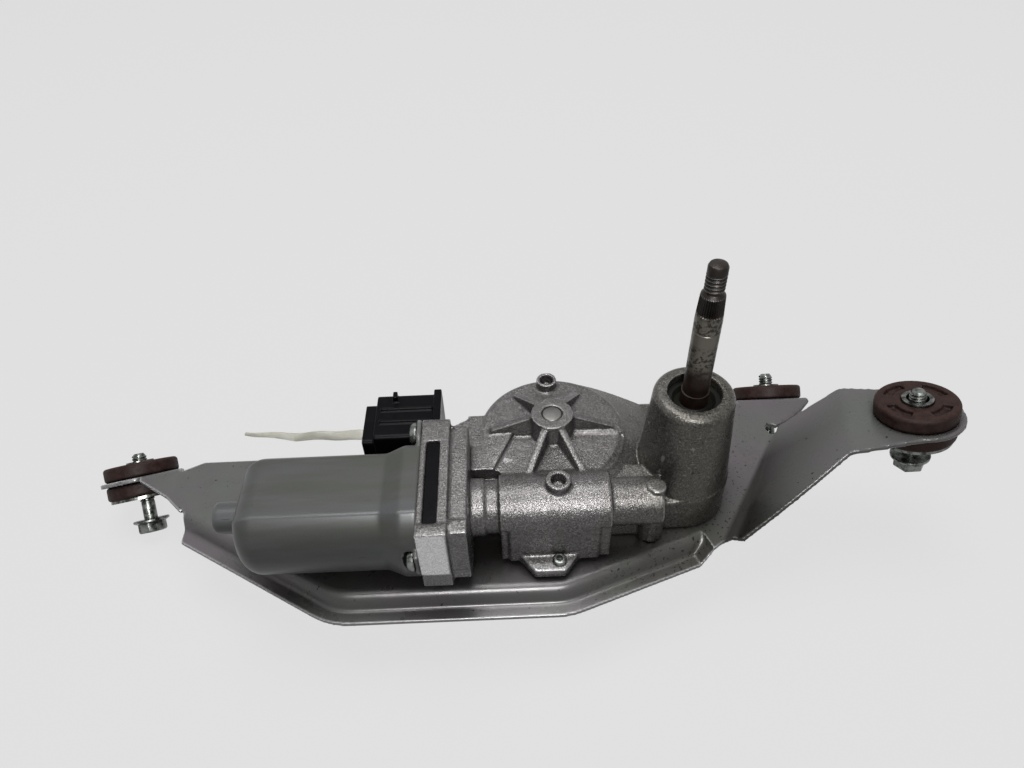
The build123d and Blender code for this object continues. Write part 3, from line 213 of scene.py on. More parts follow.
class Finish:
    def __init__(self, name, colour, metallic, roughness, specular=0.5):
        self.material = bpy.data.materials.new(name)
        self.material.use_nodes = True
        self.tree = self.material.node_tree
        self.shader = self.tree.nodes["Principled BSDF"]
        self.shader.inputs["Base Color"].default_value = (*colour, 1)
        self.shader.inputs["Metallic"].default_value = metallic
        self.shader.inputs["Roughness"].default_value = roughness
        self.shader.inputs["Specular IOR Level"].default_value = specular
        self.coords = self.tree.nodes.new("ShaderNodeTexCoord").outputs["Object"]

    def stretched(self, scale):
        # blotches grow longer along an axis whose scale is below 1
        mapping = self.tree.nodes.new("ShaderNodeMapping")
        mapping.inputs["Scale"].default_value = scale
        self.tree.links.new(self.coords, mapping.inputs["Vector"])
        return mapping.outputs["Vector"]

    def noise(self, size, detail=3.0, rough=0.55, source=None):
        # size is how wide one blotch is, in mm
        node = self.tree.nodes.new("ShaderNodeTexNoise")
        node.inputs["Scale"].default_value = 1 / mm / size
        node.inputs["Detail"].default_value = detail
        node.inputs["Roughness"].default_value = rough
        self.tree.links.new(source or self.coords, node.inputs["Vector"])
        return node.outputs["Fac"]

    def ramp(self, value, low, high, start=0.0, end=1.0):
        # a grey that goes from start to end while the value goes from low to high
        node = self.tree.nodes.new("ShaderNodeValToRGB")
        for element, position, grey in zip(node.color_ramp.elements, (low, high), (start, end)):
            element.position = position
            element.color = (grey, grey, grey, 1)
        self.tree.links.new(value, node.inputs["Fac"])
        return node.outputs["Color"]

    def combine(self, how, first, second):
        node = self.tree.nodes.new("ShaderNodeMath")
        node.operation = how
        for socket, value in zip(node.inputs, (first, second)):
            if isinstance(value, (int, float)):
                socket.default_value = value
            else:
                self.tree.links.new(value, socket)
        return node.outputs[0]

    def product(self, first, *others):
        for other in others:
            first = self.combine("MULTIPLY", first, other)
        return first

    def either(self, first, second):
        return self.combine("MAXIMUM", first, second)

    def blend(self, share, first, second, how="MIX"):
        node = self.tree.nodes.new("ShaderNodeMix")
        node.data_type = "RGBA"
        node.blend_type = how
        if isinstance(share, (int, float)):
            node.inputs[0].default_value = share
        else:
            self.tree.links.new(share, node.inputs[0])
        for socket, value in ((node.inputs[6], first), (node.inputs[7], second)):
            if isinstance(value, tuple):
                socket.default_value = (*value, 1)
            else:
                self.tree.links.new(value, socket)
        return node.outputs[2]

    def shaded(self, colour, pattern, low, high, dark, light):
        return self.blend(1.0, colour, self.ramp(pattern, low, high, dark, light), "MULTIPLY")

    def edgeWearAndHighlight(self, low, high):
        # 1 on outer edges of a dense mesh, 0 on its flats; it marks worn edges and edges that get a
        # painted highlight
        geometry = self.tree.nodes.new("ShaderNodeNewGeometry")
        return self.ramp(geometry.outputs["Pointiness"], low, high)

    def hollow(self, reach, low, high):
        # 1 where the surface lies open, 0 in a corner, as seen within reach mm
        node = self.tree.nodes.new("ShaderNodeAmbientOcclusion")
        node.samples = 4
        node.inputs["Distance"].default_value = reach * mm
        return self.ramp(node.outputs["AO"], low, high)

    def shadeCorners(self, colour, dirtAndShade, share, reach, low, high):
        # darkens the colour in corners and sheltered places: painted shade, mixed with dirt where a
        # dirt colour is given
        return self.blend(self.hollow(reach, low, high), self.blend(share, colour, dirtAndShade), colour)

    def span(self, place, low, high):
        node = self.tree.nodes.new("ShaderNodeMapRange")
        node.inputs["From Min"].default_value = low * mm
        node.inputs["From Max"].default_value = high * mm
        self.tree.links.new(place, node.inputs["Value"])
        return node.outputs["Result"]

    def between(self, axis, low, high, ragged=None, reach=0.0):
        # 0 at low mm and 1 at high mm along one axis, with a ragged edge if noise is given
        split = self.tree.nodes.new("ShaderNodeSeparateXYZ")
        self.tree.links.new(self.coords, split.inputs[0])
        place = split.outputs[axis]
        if ragged:
            shift = self.product(self.combine("SUBTRACT", ragged, 0.5), reach * mm)
            place = self.combine("ADD", place, shift)
        return self.span(place, low, high)

    def across(self, direction, low, high):
        # 0 at low mm and 1 at high mm along a slanting direction
        node = self.tree.nodes.new("ShaderNodeVectorMath")
        node.operation = "DOT_PRODUCT"
        node.inputs[1].default_value = direction
        self.tree.links.new(self.coords, node.inputs[0])
        return self.span(node.outputs["Value"], low, high)

    def inside(self, foot, head, fade=0.6):
        # 1 inside a box that two corners in mm give, and 0 outside it
        shares = []
        for axis, low, high in zip("XYZ", foot, head):
            shares.append(self.between(axis, low, low + fade))
            shares.append(self.between(axis, high, high - fade))
        return self.product(*shares)

    def paint(self, colour):
        self.tree.links.new(colour, self.shader.inputs["Base Color"])

    def gloss(self, pattern, low, high, smooth, rough):
        roughness = self.ramp(pattern, low, high, smooth, rough)
        self.tree.links.new(roughness, self.shader.inputs["Roughness"])

    def relief(self, height, depth, strength):
        # depth is in mm, and a second relief lies on the first
        node = self.tree.nodes.new("ShaderNodeBump")
        node.inputs["Distance"].default_value = depth * mm
        node.inputs["Strength"].default_value = strength
        previous = self.shader.inputs["Normal"].links
        if previous:
            self.tree.links.new(previous[0].from_socket, node.inputs["Normal"])
        self.tree.links.new(height, node.inputs["Height"])
        self.tree.links.new(node.outputs["Normal"], self.shader.inputs["Normal"])


# In the dictionaries of the finishes, sizes and places are in mm. Edges are the low and the high end
# of a ramp, and a shade adds the two greys, or for gloss the two roughnesses, that it runs between.
# Corners, grooves and shelter set painted shade in hollows, and start with how far round them the
# surface is looked at.


def makeCastAluminium():
    alloy = {
        "light": (0.168, 0.16, 0.159),
        "dark": (0.118, 0.112, 0.11),
        "oily": (0.094, 0.088, 0.073),
        "paintedHighlight": (0.38, 0.37, 0.365),
        "dirtAndShade": (0.016, 0.013, 0.01),
        "patchSize": 13,
        "patchEdges": (0.38, 0.66),
        "oilyFrom": (-34, 2),
        "oilyRagged": 26,
        "grainSize": 0.5,
        "grainShade": (0.36, 0.64, 0.34, 1.06),
        "sparkleShade": (0.6, 0.8, 0, 0.6),
        "edges": (0.522, 0.565),
        "edgeShare": 0.65,
        "padFoot": (-85, -40.5, 15.5),  # painted light: the flange's front face is made lighter for how the light falls on it
        "padHead": (-75.2, -37.4, 36.5),
        "padPaintedLight": (0.3, 0.7, 0.46, 0.86),
        "lugFoot": (-56, -44, 3),  # painted light: the lug's top is made lighter too, for the light that falls on it
        "lugHead": (-29, -29.5, 12),
        "lugPaintedLight": (0.3, 0.7, 0.3, 0.6),
        "lugShare": 0.3,
        "speckSize": 1.2,
        "speckEdges": (0.64, 0.68),
        "corners": (2.4, 0.3, 0.8),
        "cornerShare": 0.72,
        "glossSize": 4,
        "glossShade": (0.3, 0.7, 0.22, 0.34),
        "swellSize": 2.6,
    }
    finish = Finish("castAluminium", alloy["light"], metallic=0.5, roughness=0.38, specular=0.4)
    patches = finish.ramp(finish.noise(alloy["patchSize"], 4), *alloy["patchEdges"])
    colour = finish.blend(patches, alloy["light"], alloy["dark"])
    greasy = finish.between("X", *alloy["oilyFrom"], finish.noise(9, 4, 0.6), alloy["oilyRagged"])
    colour = finish.blend(greasy, colour, alloy["oily"])
    grain = finish.noise(alloy["grainSize"], 2, 0.75)
    colour = finish.shaded(colour, grain, *alloy["grainShade"])
    # painted highlight: bright specks of sparkle on the grain
    colour = finish.blend(finish.ramp(grain, *alloy["sparkleShade"]), colour, alloy["paintedHighlight"])
    # painted highlight on the crests left of X = 4 mm and on the snout's rim above Z = 52 mm
    crests = finish.ramp(finish.edgeWearAndHighlight(*alloy["edges"]), 0, 1, end=alloy["edgeShare"])
    sharp = finish.either(finish.between("X", 4, -6), finish.between("Z", 52, 57))
    colour = finish.blend(finish.product(crests, sharp), colour, alloy["paintedHighlight"])
    # painted light on the flange's front face
    pad = finish.inside(alloy["padFoot"], alloy["padHead"])
    colour = finish.blend(pad, colour, finish.ramp(grain, *alloy["padPaintedLight"]))
    # painted light on the lug's top
    lug = finish.product(finish.inside(alloy["lugFoot"], alloy["lugHead"]), alloy["lugShare"])
    colour = finish.blend(lug, colour, finish.ramp(grain, *alloy["lugPaintedLight"]))
    specks = finish.ramp(finish.noise(alloy["speckSize"], 2, 0.5), *alloy["speckEdges"])
    specks = finish.product(specks, finish.between("X", -30, 0))
    colour = finish.blend(specks, colour, alloy["dirtAndShade"])
    # painted shade, mixed with dirt, in the corners
    colour = finish.shadeCorners(colour, alloy["dirtAndShade"], alloy["cornerShare"], *alloy["corners"])
    finish.paint(colour)
    finish.gloss(finish.noise(alloy["glossSize"], 3), *alloy["glossShade"])
    finish.relief(grain, depth=0.2, strength=0.7)
    finish.relief(finish.noise(alloy["swellSize"], 3), depth=0.3, strength=0.5)
    return finish.material


def makeBracketSteel():
    plate = {
        "violet": (0.122, 0.11, 0.118),
        "green": (0.112, 0.118, 0.108),
        "oil": (0.068, 0.063, 0.052),
        "edgeHighlight": (0.6, 0.6, 0.61),
        "dirtAndShade": (0.012, 0.01, 0.009),
        "cloudSize": 34,
        "cloudEdges": (0.4, 0.62),
        "filmSize": 0.5,
        "filmShade": (0.3, 0.7, 0.86, 1.0),
        "oilShare": 0.75,
        "speckSize": 1.15,
        "speckEdges": (0.63, 0.66),
        "spotSize": 1.6,
        "spotEdges": (0.74, 0.76),
        "edges": (0.512, 0.57),
        "edgeShare": 0.8,
        "foldAcross": (0.85, -0.527, 0),  # runs square to the fold beside the snout, where a dark reflection is painted
        "foldStart": (20.2, 21.6),
        "foldEnd": (44, 23),
        "foldShare": 0.92,
        "corners": (3.0, 0.25, 0.8),
        "cornerShare": 0.7,
        "shelter": (24, 0.22, 0.8),  # painted shadow under the tabs and beside the gear case
        "shelterShare": 0.92,
        "glossSize": 7,
        "glossShade": (0.3, 0.7, 0.24, 0.36),
        "swellSize": 11,
    }
    finish = Finish("bracketSteel", plate["violet"], metallic=0.22, roughness=0.42, specular=0.25)
    clouds = finish.ramp(finish.noise(plate["cloudSize"], 4, 0.6), *plate["cloudEdges"])
    colour = finish.blend(clouds, plate["violet"], plate["green"])
    colour = finish.shaded(colour, finish.noise(plate["filmSize"], 2, 0.8), *plate["filmShade"])
    oil = finish.product(finish.between("X", -40, 5), finish.between("X", 42, 14),
                         finish.between("Y", -8, -24), plate["oilShare"])
    colour = finish.blend(oil, colour, plate["oil"])
    near = finish.product(finish.between("X", -45, 0), finish.between("X", 36, 20))
    specks = finish.ramp(finish.noise(plate["speckSize"], 2, 0.5), *plate["speckEdges"])
    spots = finish.ramp(finish.noise(plate["spotSize"], 1, 0.5), *plate["spotEdges"])
    colour = finish.blend(finish.either(finish.product(specks, near), spots), colour, plate["dirtAndShade"])
    # painted highlight along the sheet's edges and its rounded step, left of X = 10 mm
    worn = finish.edgeWearAndHighlight(*plate["edges"])
    litEdges = finish.product(worn, finish.between("X", 24, 10), plate["edgeShare"])
    colour = finish.blend(litEdges, colour, plate["edgeHighlight"])
    # painted reflection: the slope beside the snout is darkened where it mirrors the dark snout
    fold = finish.product(finish.across(plate["foldAcross"], *plate["foldStart"]),
                          finish.across(plate["foldAcross"], *plate["foldEnd"]),
                          finish.between("Y", 25, 12), plate["foldShare"])
    colour = finish.blend(fold, colour, plate["dirtAndShade"])
    # painted shade and dirt in corners, then painted shadow in the sheltered places
    colour = finish.shadeCorners(colour, plate["dirtAndShade"], plate["cornerShare"], *plate["corners"])
    colour = finish.shadeCorners(colour, plate["dirtAndShade"], plate["shelterShare"], *plate["shelter"])
    finish.paint(colour)
    finish.gloss(finish.noise(plate["glossSize"], 4), *plate["glossShade"])
    finish.relief(finish.noise(0.4, 2, 0.7), depth=0.035, strength=0.5)
    finish.relief(finish.noise(plate["swellSize"], 3), depth=0.35, strength=0.3)
    return finish.material


def makeYokeSteel():
    can = {
        "colour": (0.083, 0.085, 0.087),
        "stain": (0.064, 0.067, 0.058),
        "scuffAndShade": (0.022, 0.022, 0.022),
        "worn": (0.3, 0.3, 0.295),
        "stainSize": 9,
        "stainStretch": (0.14, 1.0, 1.0),
        "stainEdges": (0.4, 0.66),
        "filmSize": 0.45,
        "filmShade": (0.3, 0.7, 0.88, 1.0),
        "scuffSize": 0.7,
        "scuffStretch": (0.06, 1.0, 1.0),
        "scuffShade": (0.73, 0.77, 0, 0.7),
        "edges": (0.515, 0.56),
        "edgeShare": 0.4,
        "corners": (2.5, 0.25, 0.8),
        "cornerShare": 0.7,
        "glossSize": 6,
        "glossShade": (0.3, 0.7, 0.3, 0.44),
    }
    finish = Finish("yokeSteel", can["colour"], metallic=0.15, roughness=0.36, specular=0.2)
    along = finish.stretched(can["stainStretch"])
    stains = finish.ramp(finish.noise(can["stainSize"], 4, 0.6, along), *can["stainEdges"])
    colour = finish.blend(stains, can["colour"], can["stain"])
    colour = finish.shaded(colour, finish.noise(can["filmSize"], 2, 0.8), *can["filmShade"])
    scratches = finish.noise(can["scuffSize"], 2, 0.5, finish.stretched(can["scuffStretch"]))
    colour = finish.blend(finish.ramp(scratches, *can["scuffShade"]), colour, can["scuffAndShade"])
    worn = finish.ramp(finish.edgeWearAndHighlight(*can["edges"]), 0, 1, end=can["edgeShare"])
    colour = finish.blend(worn, colour, can["worn"])
    # painted shade in the corners
    colour = finish.shadeCorners(colour, can["scuffAndShade"], can["cornerShare"], *can["corners"])
    finish.paint(colour)
    finish.gloss(finish.noise(can["glossSize"], 4, 0.6, along), *can["glossShade"])
    finish.relief(finish.noise(0.35, 2, 0.7), depth=0.03, strength=0.5)
    return finish.material


def makeFastenerSteel():
    zinc = {
        "bright": (0.2, 0.21, 0.2),
        "worn": (0.035, 0.038, 0.032),
        "dirtAndShade": (0.008, 0.008, 0.006),
        "wornSize": 2.6,
        "wornEdges": (0.42, 0.6),
        "corners": (1.6, 0.3, 0.8),
        "glossShade": (0.35, 0.65, 0.2, 0.42),
    }
    finish = Finish("fastenerSteel", zinc["bright"], metallic=0.85, roughness=0.28)
    worn = finish.ramp(finish.noise(zinc["wornSize"], 4, 0.65), *zinc["wornEdges"])
    colour = finish.blend(worn, zinc["bright"], zinc["worn"])
    # painted shade, mixed with dirt, in the corners and under the bracket
    finish.paint(finish.blend(finish.hollow(*zinc["corners"]), zinc["dirtAndShade"], colour))
    finish.gloss(finish.noise(2, 3), *zinc["glossShade"])
    finish.relief(finish.noise(0.5, 2, 0.6), depth=0.03, strength=0.4)
    return finish.material


def makeGrommetRubber():
    rubber = {
        "colour": (0.02, 0.0095, 0.0078),
        "dust": (0.042, 0.025, 0.0215),
        "dark": (0.006, 0.003, 0.0026),
        "dustSize": 3.2,
        "dustEdges": (0.42, 0.68),
        "corners": (2.2, 0.3, 0.85),
        "glossShade": (0.2, 0.8, 0.5, 0.8),
    }
    finish = Finish("grommetRubber", rubber["colour"], metallic=0.0, roughness=0.62, specular=0.1)
    dusty = finish.ramp(finish.noise(rubber["dustSize"], 4, 0.7), *rubber["dustEdges"])
    colour = finish.blend(dusty, rubber["colour"], rubber["dust"])
    # painted shade in the corners and slots
    finish.paint(finish.blend(finish.hollow(*rubber["corners"]), rubber["dark"], colour))
    finish.gloss(dusty, *rubber["glossShade"])
    finish.relief(finish.noise(0.55, 3, 0.65), depth=0.09, strength=0.7)
    return finish.material


def makeShaftSteel():
    steel = {
        "rust": (0.02, 0.0085, 0.0065),
        "brown": (0.018, 0.013, 0.0105),
        "grey": (0.165, 0.152, 0.128),
        "pitAndShade": (0.012, 0.009, 0.007),
        "bright": (0.3, 0.29, 0.28),
        "rustBelow": (64, 56),
        "greyAbove": (57, 63),
        "greyBelow": (80.5, 78),
        "greyShare": 0.95,
        "pitSize": 1.25,
        "pitShade": (0.49, 0.57, 0, 0.85),
        "pitsBelow": (69.5, 67),
        "pitsAbove": (73.2, 74),
        "edges": (0.53, 0.6),
        "threadAbove": (84, 87),
        "threadBelow": (92.9, 92.3),
        "grooves": (0.7, 0.45, 0.95),
        "glossShade": (0.35, 0.65, 0.3, 0.52),
    }
    finish = Finish("shaftSteel", steel["brown"], metallic=0.35, roughness=0.42, specular=0.25)
    low = finish.between("Z", *steel["rustBelow"], finish.noise(5, 3), 8)
    colour = finish.blend(low, steel["brown"], steel["rust"])
    band = finish.product(finish.between("Z", *steel["greyAbove"], finish.noise(4, 4, 0.7), 9),
                          finish.between("Z", *steel["greyBelow"], finish.noise(3, 4, 0.7), 3.5),
                          steel["greyShare"])
    colour = finish.blend(band, colour, steel["grey"])
    pits = finish.ramp(finish.noise(steel["pitSize"], 2, 0.55), *steel["pitShade"])
    spotted = finish.either(finish.between("Z", *steel["pitsBelow"], finish.noise(3, 3), 3),
                            finish.between("Z", *steel["pitsAbove"]))
    colour = finish.blend(finish.product(pits, spotted), colour, steel["pitAndShade"])
    crests = finish.product(finish.edgeWearAndHighlight(*steel["edges"]), finish.between("Z", *steel["threadAbove"]),
                            finish.between("Z", *steel["threadBelow"]))
    colour = finish.blend(crests, colour, steel["bright"])
    # painted shade, mixed with dirt, in the knurl's and the thread's grooves
    finish.paint(finish.blend(finish.hollow(*steel["grooves"]), steel["pitAndShade"], colour))
    finish.gloss(finish.noise(2.5, 3), *steel["glossShade"])
    finish.relief(finish.noise(0.8, 3, 0.65), depth=0.08, strength=0.6)
    return finish.material


def makeBlackPlastic():
    plastic = {
        "colour": (0.003, 0.0025, 0.0035),
        "dust": (0.01, 0.009, 0.01),
        "dustShade": (0.55, 0.8, 0, 0.5),
        "glossShade": (0.3, 0.7, 0.26, 0.36),
    }
    finish = Finish("blackPlastic", plastic["colour"], metallic=0.0, roughness=0.4, specular=0.05)
    dusty = finish.ramp(finish.noise(4, 4, 0.7), *plastic["dustShade"])
    finish.paint(finish.blend(dusty, plastic["colour"], plastic["dust"]))
    finish.gloss(finish.noise(7, 3), *plastic["glossShade"])
    finish.relief(finish.noise(0.3, 2, 0.6), depth=0.015, strength=0.4)
    return finish.material


def makeNaturalNylon():
    nylon = {"colour": (0.5, 0.49, 0.42), "aged": (0.4, 0.39, 0.33), "glow": (0.002, 0.002, 0.0015)}
    finish = Finish("naturalNylon", nylon["colour"], metallic=0.0, roughness=0.45, specular=0.35)
    finish.shader.inputs["Subsurface Weight"].default_value = 0.1
    finish.shader.inputs["Subsurface Radius"].default_value = nylon["glow"]
    aged = finish.ramp(finish.noise(5, 3), 0.35, 0.65)
    finish.paint(finish.blend(aged, nylon["colour"], nylon["aged"]))
    finish.relief(finish.noise(1.2, 3, 0.6), depth=0.05, strength=0.4)
    return finish.material


def makePlain(name, colour, roughness, metallic, grainSize, patchSize, darkShare, specular):
    finish = Finish(name, colour, metallic, roughness, specular)
    darker = tuple(channel * darkShare for channel in colour)
    patches = finish.ramp(finish.noise(patchSize, 4), 0.35, 0.7)
    finish.paint(finish.blend(patches, colour, darker))
    finish.relief(finish.noise(grainSize, 2, 0.6), depth=0.04, strength=0.4)
    return finish.material


def makePlainMetal(name, colour, roughness, grainSize=0.5):
    return makePlain(name, colour, roughness, metallic=0.8, grainSize=grainSize,
                     patchSize=grainSize * 6, darkShare=0.6, specular=0.5)


def makePlainMould(name, colour, roughness, specular=0.5):
    return makePlain(name, colour, roughness, metallic=0.0, grainSize=0.4,
                     patchSize=4, darkShare=0.75, specular=specular)


finishes = {
    "zinc_steel": makeBracketSteel(),
    "cast_aluminium": makeCastAluminium(),
    "yoke_steel": makeYokeSteel(),
    "fastener_steel": makeFastenerSteel(),
    "grommet_rubber": makeGrommetRubber(),
    "shaft_steel": makeShaftSteel(),
    "black_plastic": makeBlackPlastic(),
    "natural_nylon": makeNaturalNylon(),
    "gear_plastic": makePlainMould("gearPlastic", (0.62, 0.6, 0.52), 0.45),
    "brass": makePlainMetal("brass", (0.6, 0.42, 0.16), 0.35, 0.6),
    "bronze": makePlainMetal("bronze", (0.36, 0.2, 0.1), 0.5),
    "copper": makePlainMetal("copper", (0.55, 0.2, 0.09), 0.4),
    "ferrite": makePlainMould("ferrite", (0.03, 0.03, 0.032), 0.6),
    "electrical_steel": makePlainMetal("electricalSteel", (0.2, 0.2, 0.21), 0.5),
    "carbon": makePlainMould("carbon", (0.02, 0.02, 0.022), 0.6),
    "bright_steel": makePlainMetal("brightSteel", (0.13, 0.125, 0.12), 0.4),
    "black_rubber": makePlainMould("blackRubber", (0.009, 0.009, 0.007), 0.5, 0.1),
}

slotOf = {row["node"]: row["material_slot"] for row in frame["record"]["subparts"]}
for nodeName, thing in nodes.items():
    for materialSlot in thing.material_slots:
        materialSlot.material = finishes[slotOf[nodeName]]
print("materials are assigned")

cadWeld = 0.000005  # metres, within which points of a CAD node's copy are merged
turnedWeld = 0.000002  # the same for turned pieces


def selectOnly(piece, *others):
    deselectAll()
    for thing in (piece, *others):
        thing.select_set(True)
    bpy.context.view_layer.objects.active = piece


def applyAll(piece):
    bpy.context.view_layer.objects.active = piece
    for modifier in list(piece.modifiers):
        bpy.ops.object.modifier_apply(modifier=modifier.name)


def softenEdges(piece, width, angle):
    soft = piece.modifiers.new("soft", "BEVEL")
    soft.width = width * mm
    soft.segments = 2
    soft.limit_method = "ANGLE"
    soft.angle_limit = math.radians(angle)
    applyAll(piece)


def standFor(piece, nodeName):
    piece.data.materials.clear()
    piece.data.materials.append(finishes[slotOf[nodeName]])
    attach(piece, nodes[nodeName]["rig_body"])
    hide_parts(nodeName)
    deselectAll()


def copyOf(nodeName, pieceName):
    piece = bpy.data.objects.new(pieceName, nodes[nodeName].data.copy())
    bpy.context.scene.collection.objects.link(piece)
    selectOnly(piece)
    bpy.ops.object.mode_set(mode="EDIT")
    bpy.ops.mesh.select_all(action="SELECT")
    bpy.ops.mesh.remove_doubles(threshold=cadWeld)
    bpy.ops.object.mode_set(mode="OBJECT")
    return piece


def addPlane():
    deselectAll()
    bpy.ops.mesh.primitive_plane_add(size=mm, location=(0, 0, 0))
    return bpy.context.object


def fillIn(corners, low, high):
    block = addPlane()
    for vertex, (x, y) in zip(block.data.vertices, corners):
        vertex.co = (x * mm, y * mm, low * mm)
    bpy.ops.object.mode_set(mode="EDIT")
    bpy.ops.mesh.select_all(action="SELECT")
    bpy.ops.mesh.extrude_region_move(TRANSFORM_OT_translate={"value": (0, 0, (high - low) * mm)})
    bpy.ops.mesh.select_all(action="SELECT")
    bpy.ops.mesh.normals_make_consistent(inside=False)
    bpy.ops.object.mode_set(mode="OBJECT")
    return block


def roundedCopy(nodeName, pieceName, look):
    # the CAD node with the rounded edges of the real casting or pressing
    piece = copyOf(nodeName, pieceName)
    blocks = [fillIn(*block) for block in look.get("fills", [])]
    if blocks:
        selectOnly(piece, *blocks)
        bpy.ops.object.join()
    remesh = piece.modifiers.new("cells", "REMESH")
    remesh.mode = "VOXEL"
    remesh.voxel_size = look["cell"] * mm
    soften = piece.modifiers.new("soften", "SMOOTH")
    soften.factor = 0.5
    soften.iterations = look["rounds"]
    applyAll(piece)
    triangles = len(piece.data.polygons) * 2
    if triangles > look["mostFaces"]:
        thin = piece.modifiers.new("thin", "DECIMATE")
        thin.ratio = look["mostFaces"] / triangles
        applyAll(piece)
    piece.select_set(True)
    bpy.ops.object.shade_smooth()
    standFor(piece, nodeName)
    print(pieceName, "faces:", len(piece.data.polygons))


gearCaseLook = {
    "cell": 0.45,
    "rounds": 3,
    "mostFaces": 180000,
    "fills": [  # four corners in plan, then the heights of the bottom and the top
        # the pocket between the front ribs
        ([(-49.8, -8.5), (-42, -8.5), (-45, 4.2), (-42, 4.2)], 20, 23.4),
        # the corner behind the flange
        ([(-76, 1), (-69.4, 1), (-76, 13), (-69.4, 17)], 8, 23.4),
    ],
}
bracketLook = {"cell": 0.5, "rounds": 3, "mostFaces": 180000}
yokeLook = {"cell": 0.5, "rounds": 4, "mostFaces": 120000}
socketLook = {"cell": 0.32, "rounds": 2, "mostFaces": 60000}
grommetLook = {"cell": 0.34, "rounds": 3, "mostFaces": 40000}
roundedCopy("gear_case", "castGearCase", gearCaseLook)
roundedCopy("mounting_bracket", "pressedBracket", bracketLook)
roundedCopy("motor_yoke", "drawnYoke", yokeLook)
roundedCopy("connector_housing", "mouldedSocket", socketLook)
for side in ("left", "middle", "right"):
    roundedCopy(f"grommet_{side}", f"rubberGrommet_{side}", grommetLook)


def drawProfile(pieceName, profile):
    # profile is radius and height in mm, drawn by pulling one point along
    piece = addPlane()
    piece.name = pieceName
    bpy.ops.object.mode_set(mode="EDIT")
    bpy.ops.mesh.select_mode(type="VERT")
    bpy.ops.mesh.select_all(action="SELECT")
    bpy.ops.mesh.merge(type="CENTER")
    bpy.ops.transform.translate(value=(profile[0][0] * mm, 0, profile[0][1] * mm))
    for (radius, height), (nextRadius, nextHeight) in zip(profile, profile[1:]):
        step = ((nextRadius - radius) * mm, 0, (nextHeight - height) * mm)
        bpy.ops.mesh.extrude_region_move(TRANSFORM_OT_translate={"value": step})
    return piece


def closeTurned():
    bpy.ops.mesh.select_all(action="SELECT")
    bpy.ops.mesh.remove_doubles(threshold=turnedWeld)
    bpy.ops.mesh.normals_make_consistent(inside=False)
    bpy.ops.object.mode_set(mode="OBJECT")


def lathe(pieceName, profile, steps):
    piece = drawProfile(pieceName, profile)
    bpy.ops.mesh.select_all(action="SELECT")
    bpy.ops.mesh.spin(steps=steps, angle=math.tau, center=(0, 0, 0), axis=(0, 0, 1))
    closeTurned()
    return piece


def threadRidge(pieceName, look):
    # one turn of the flank is drawn and the Screw modifier winds it up the core
    root = look["radius"] - look["depth"]
    paintedHighlight = look["radius"]
    foot, pitch = look["foot"], look["pitch"]
    # radius, and height as a share of the pitch
    flank = [(root, 0), (paintedHighlight, 0.38), (paintedHighlight, 0.5), (root, 0.88), (root, 1)]
    piece = drawProfile(pieceName, [(radius, foot + share * pitch) for radius, share in flank])
    bpy.ops.object.mode_set(mode="OBJECT")
    wind = piece.modifiers.new("wind", "SCREW")
    wind.axis = "Z"
    wind.angle = math.tau
    wind.screw_offset = pitch * mm
    wind.iterations = look["turns"]
    wind.steps = look["steps"]
    wind.render_steps = look["steps"]
    wind.use_merge_vertices = True
    wind.merge_threshold = turnedWeld
    applyAll(piece)
    bpy.ops.object.mode_set(mode="EDIT")
    closeTurned()
    return piece


def shadeTurned(piece):
    selectOnly(piece)
    bpy.ops.object.shade_smooth_by_angle(angle=math.radians(32))


def joinInto(piece, others):
    selectOnly(piece, *others)
    bpy.ops.object.join()
    shadeTurned(piece)


def seatOn(piece, seat, normal):
    # the piece is modelled round Z and laid on its seat, then its place goes into the mesh
    turn = Vector(normal).to_track_quat("Z", "Y").to_matrix().to_4x4()
    piece.matrix_world = Matrix.Translation(Vector(seat) * mm) @ turn
    selectOnly(piece)
    bpy.ops.object.transform_apply(location=True, rotation=True, scale=True)


wiperShaft = {
    "profile": [
        (0, 2.4), (3.85, 2.4), (4.25, 2.8), (4.25, 49.6),  # the journal in its bushes
        (3.9, 49.7), (3.9, 73.2), (3.76, 73.35), (3.76, 73.75), (3.9, 73.9), (3.9, 77.2),
        (3.8, 79.3), (3.78, 79.6), (3.5, 84.9), (3.42, 85.5), (3.0, 86.0),  # the tapered spline
        (2.5, 86.5), (2.45, 92.2), (2.8, 92.5), (2.8, 94.6), (2.45, 95.3), (1.6, 95.65), (0, 95.7),
    ],
    "knurls": 32,
    "knurlFoot": 79.5,
    "knurlTop": 85.2,
    "knurlDepth": 0.88,  # what is left of the radius in the grooves
    "thread": {"radius": 2.85, "depth": 0.45, "pitch": 1.15, "foot": 86.3, "turns": 5, "steps": 40},
}


def makeWiperShaft():
    columns = wiperShaft["knurls"] * 2
    piece = lathe("wiperShaft", wiperShaft["profile"], columns)
    for vertex in piece.data.vertices:
        place = vertex.co
        column = round(math.atan2(place.y, place.x) / math.tau * columns)
        knurled = wiperShaft["knurlFoot"] * mm < place.z < wiperShaft["knurlTop"] * mm
        if knurled and column % 2 == 1:
            vertex.co.x *= wiperShaft["knurlDepth"]
            vertex.co.y *= wiperShaft["knurlDepth"]
    joinInto(piece, [threadRidge("shaftThread", wiperShaft["thread"])])
    standFor(piece, "output_shaft")


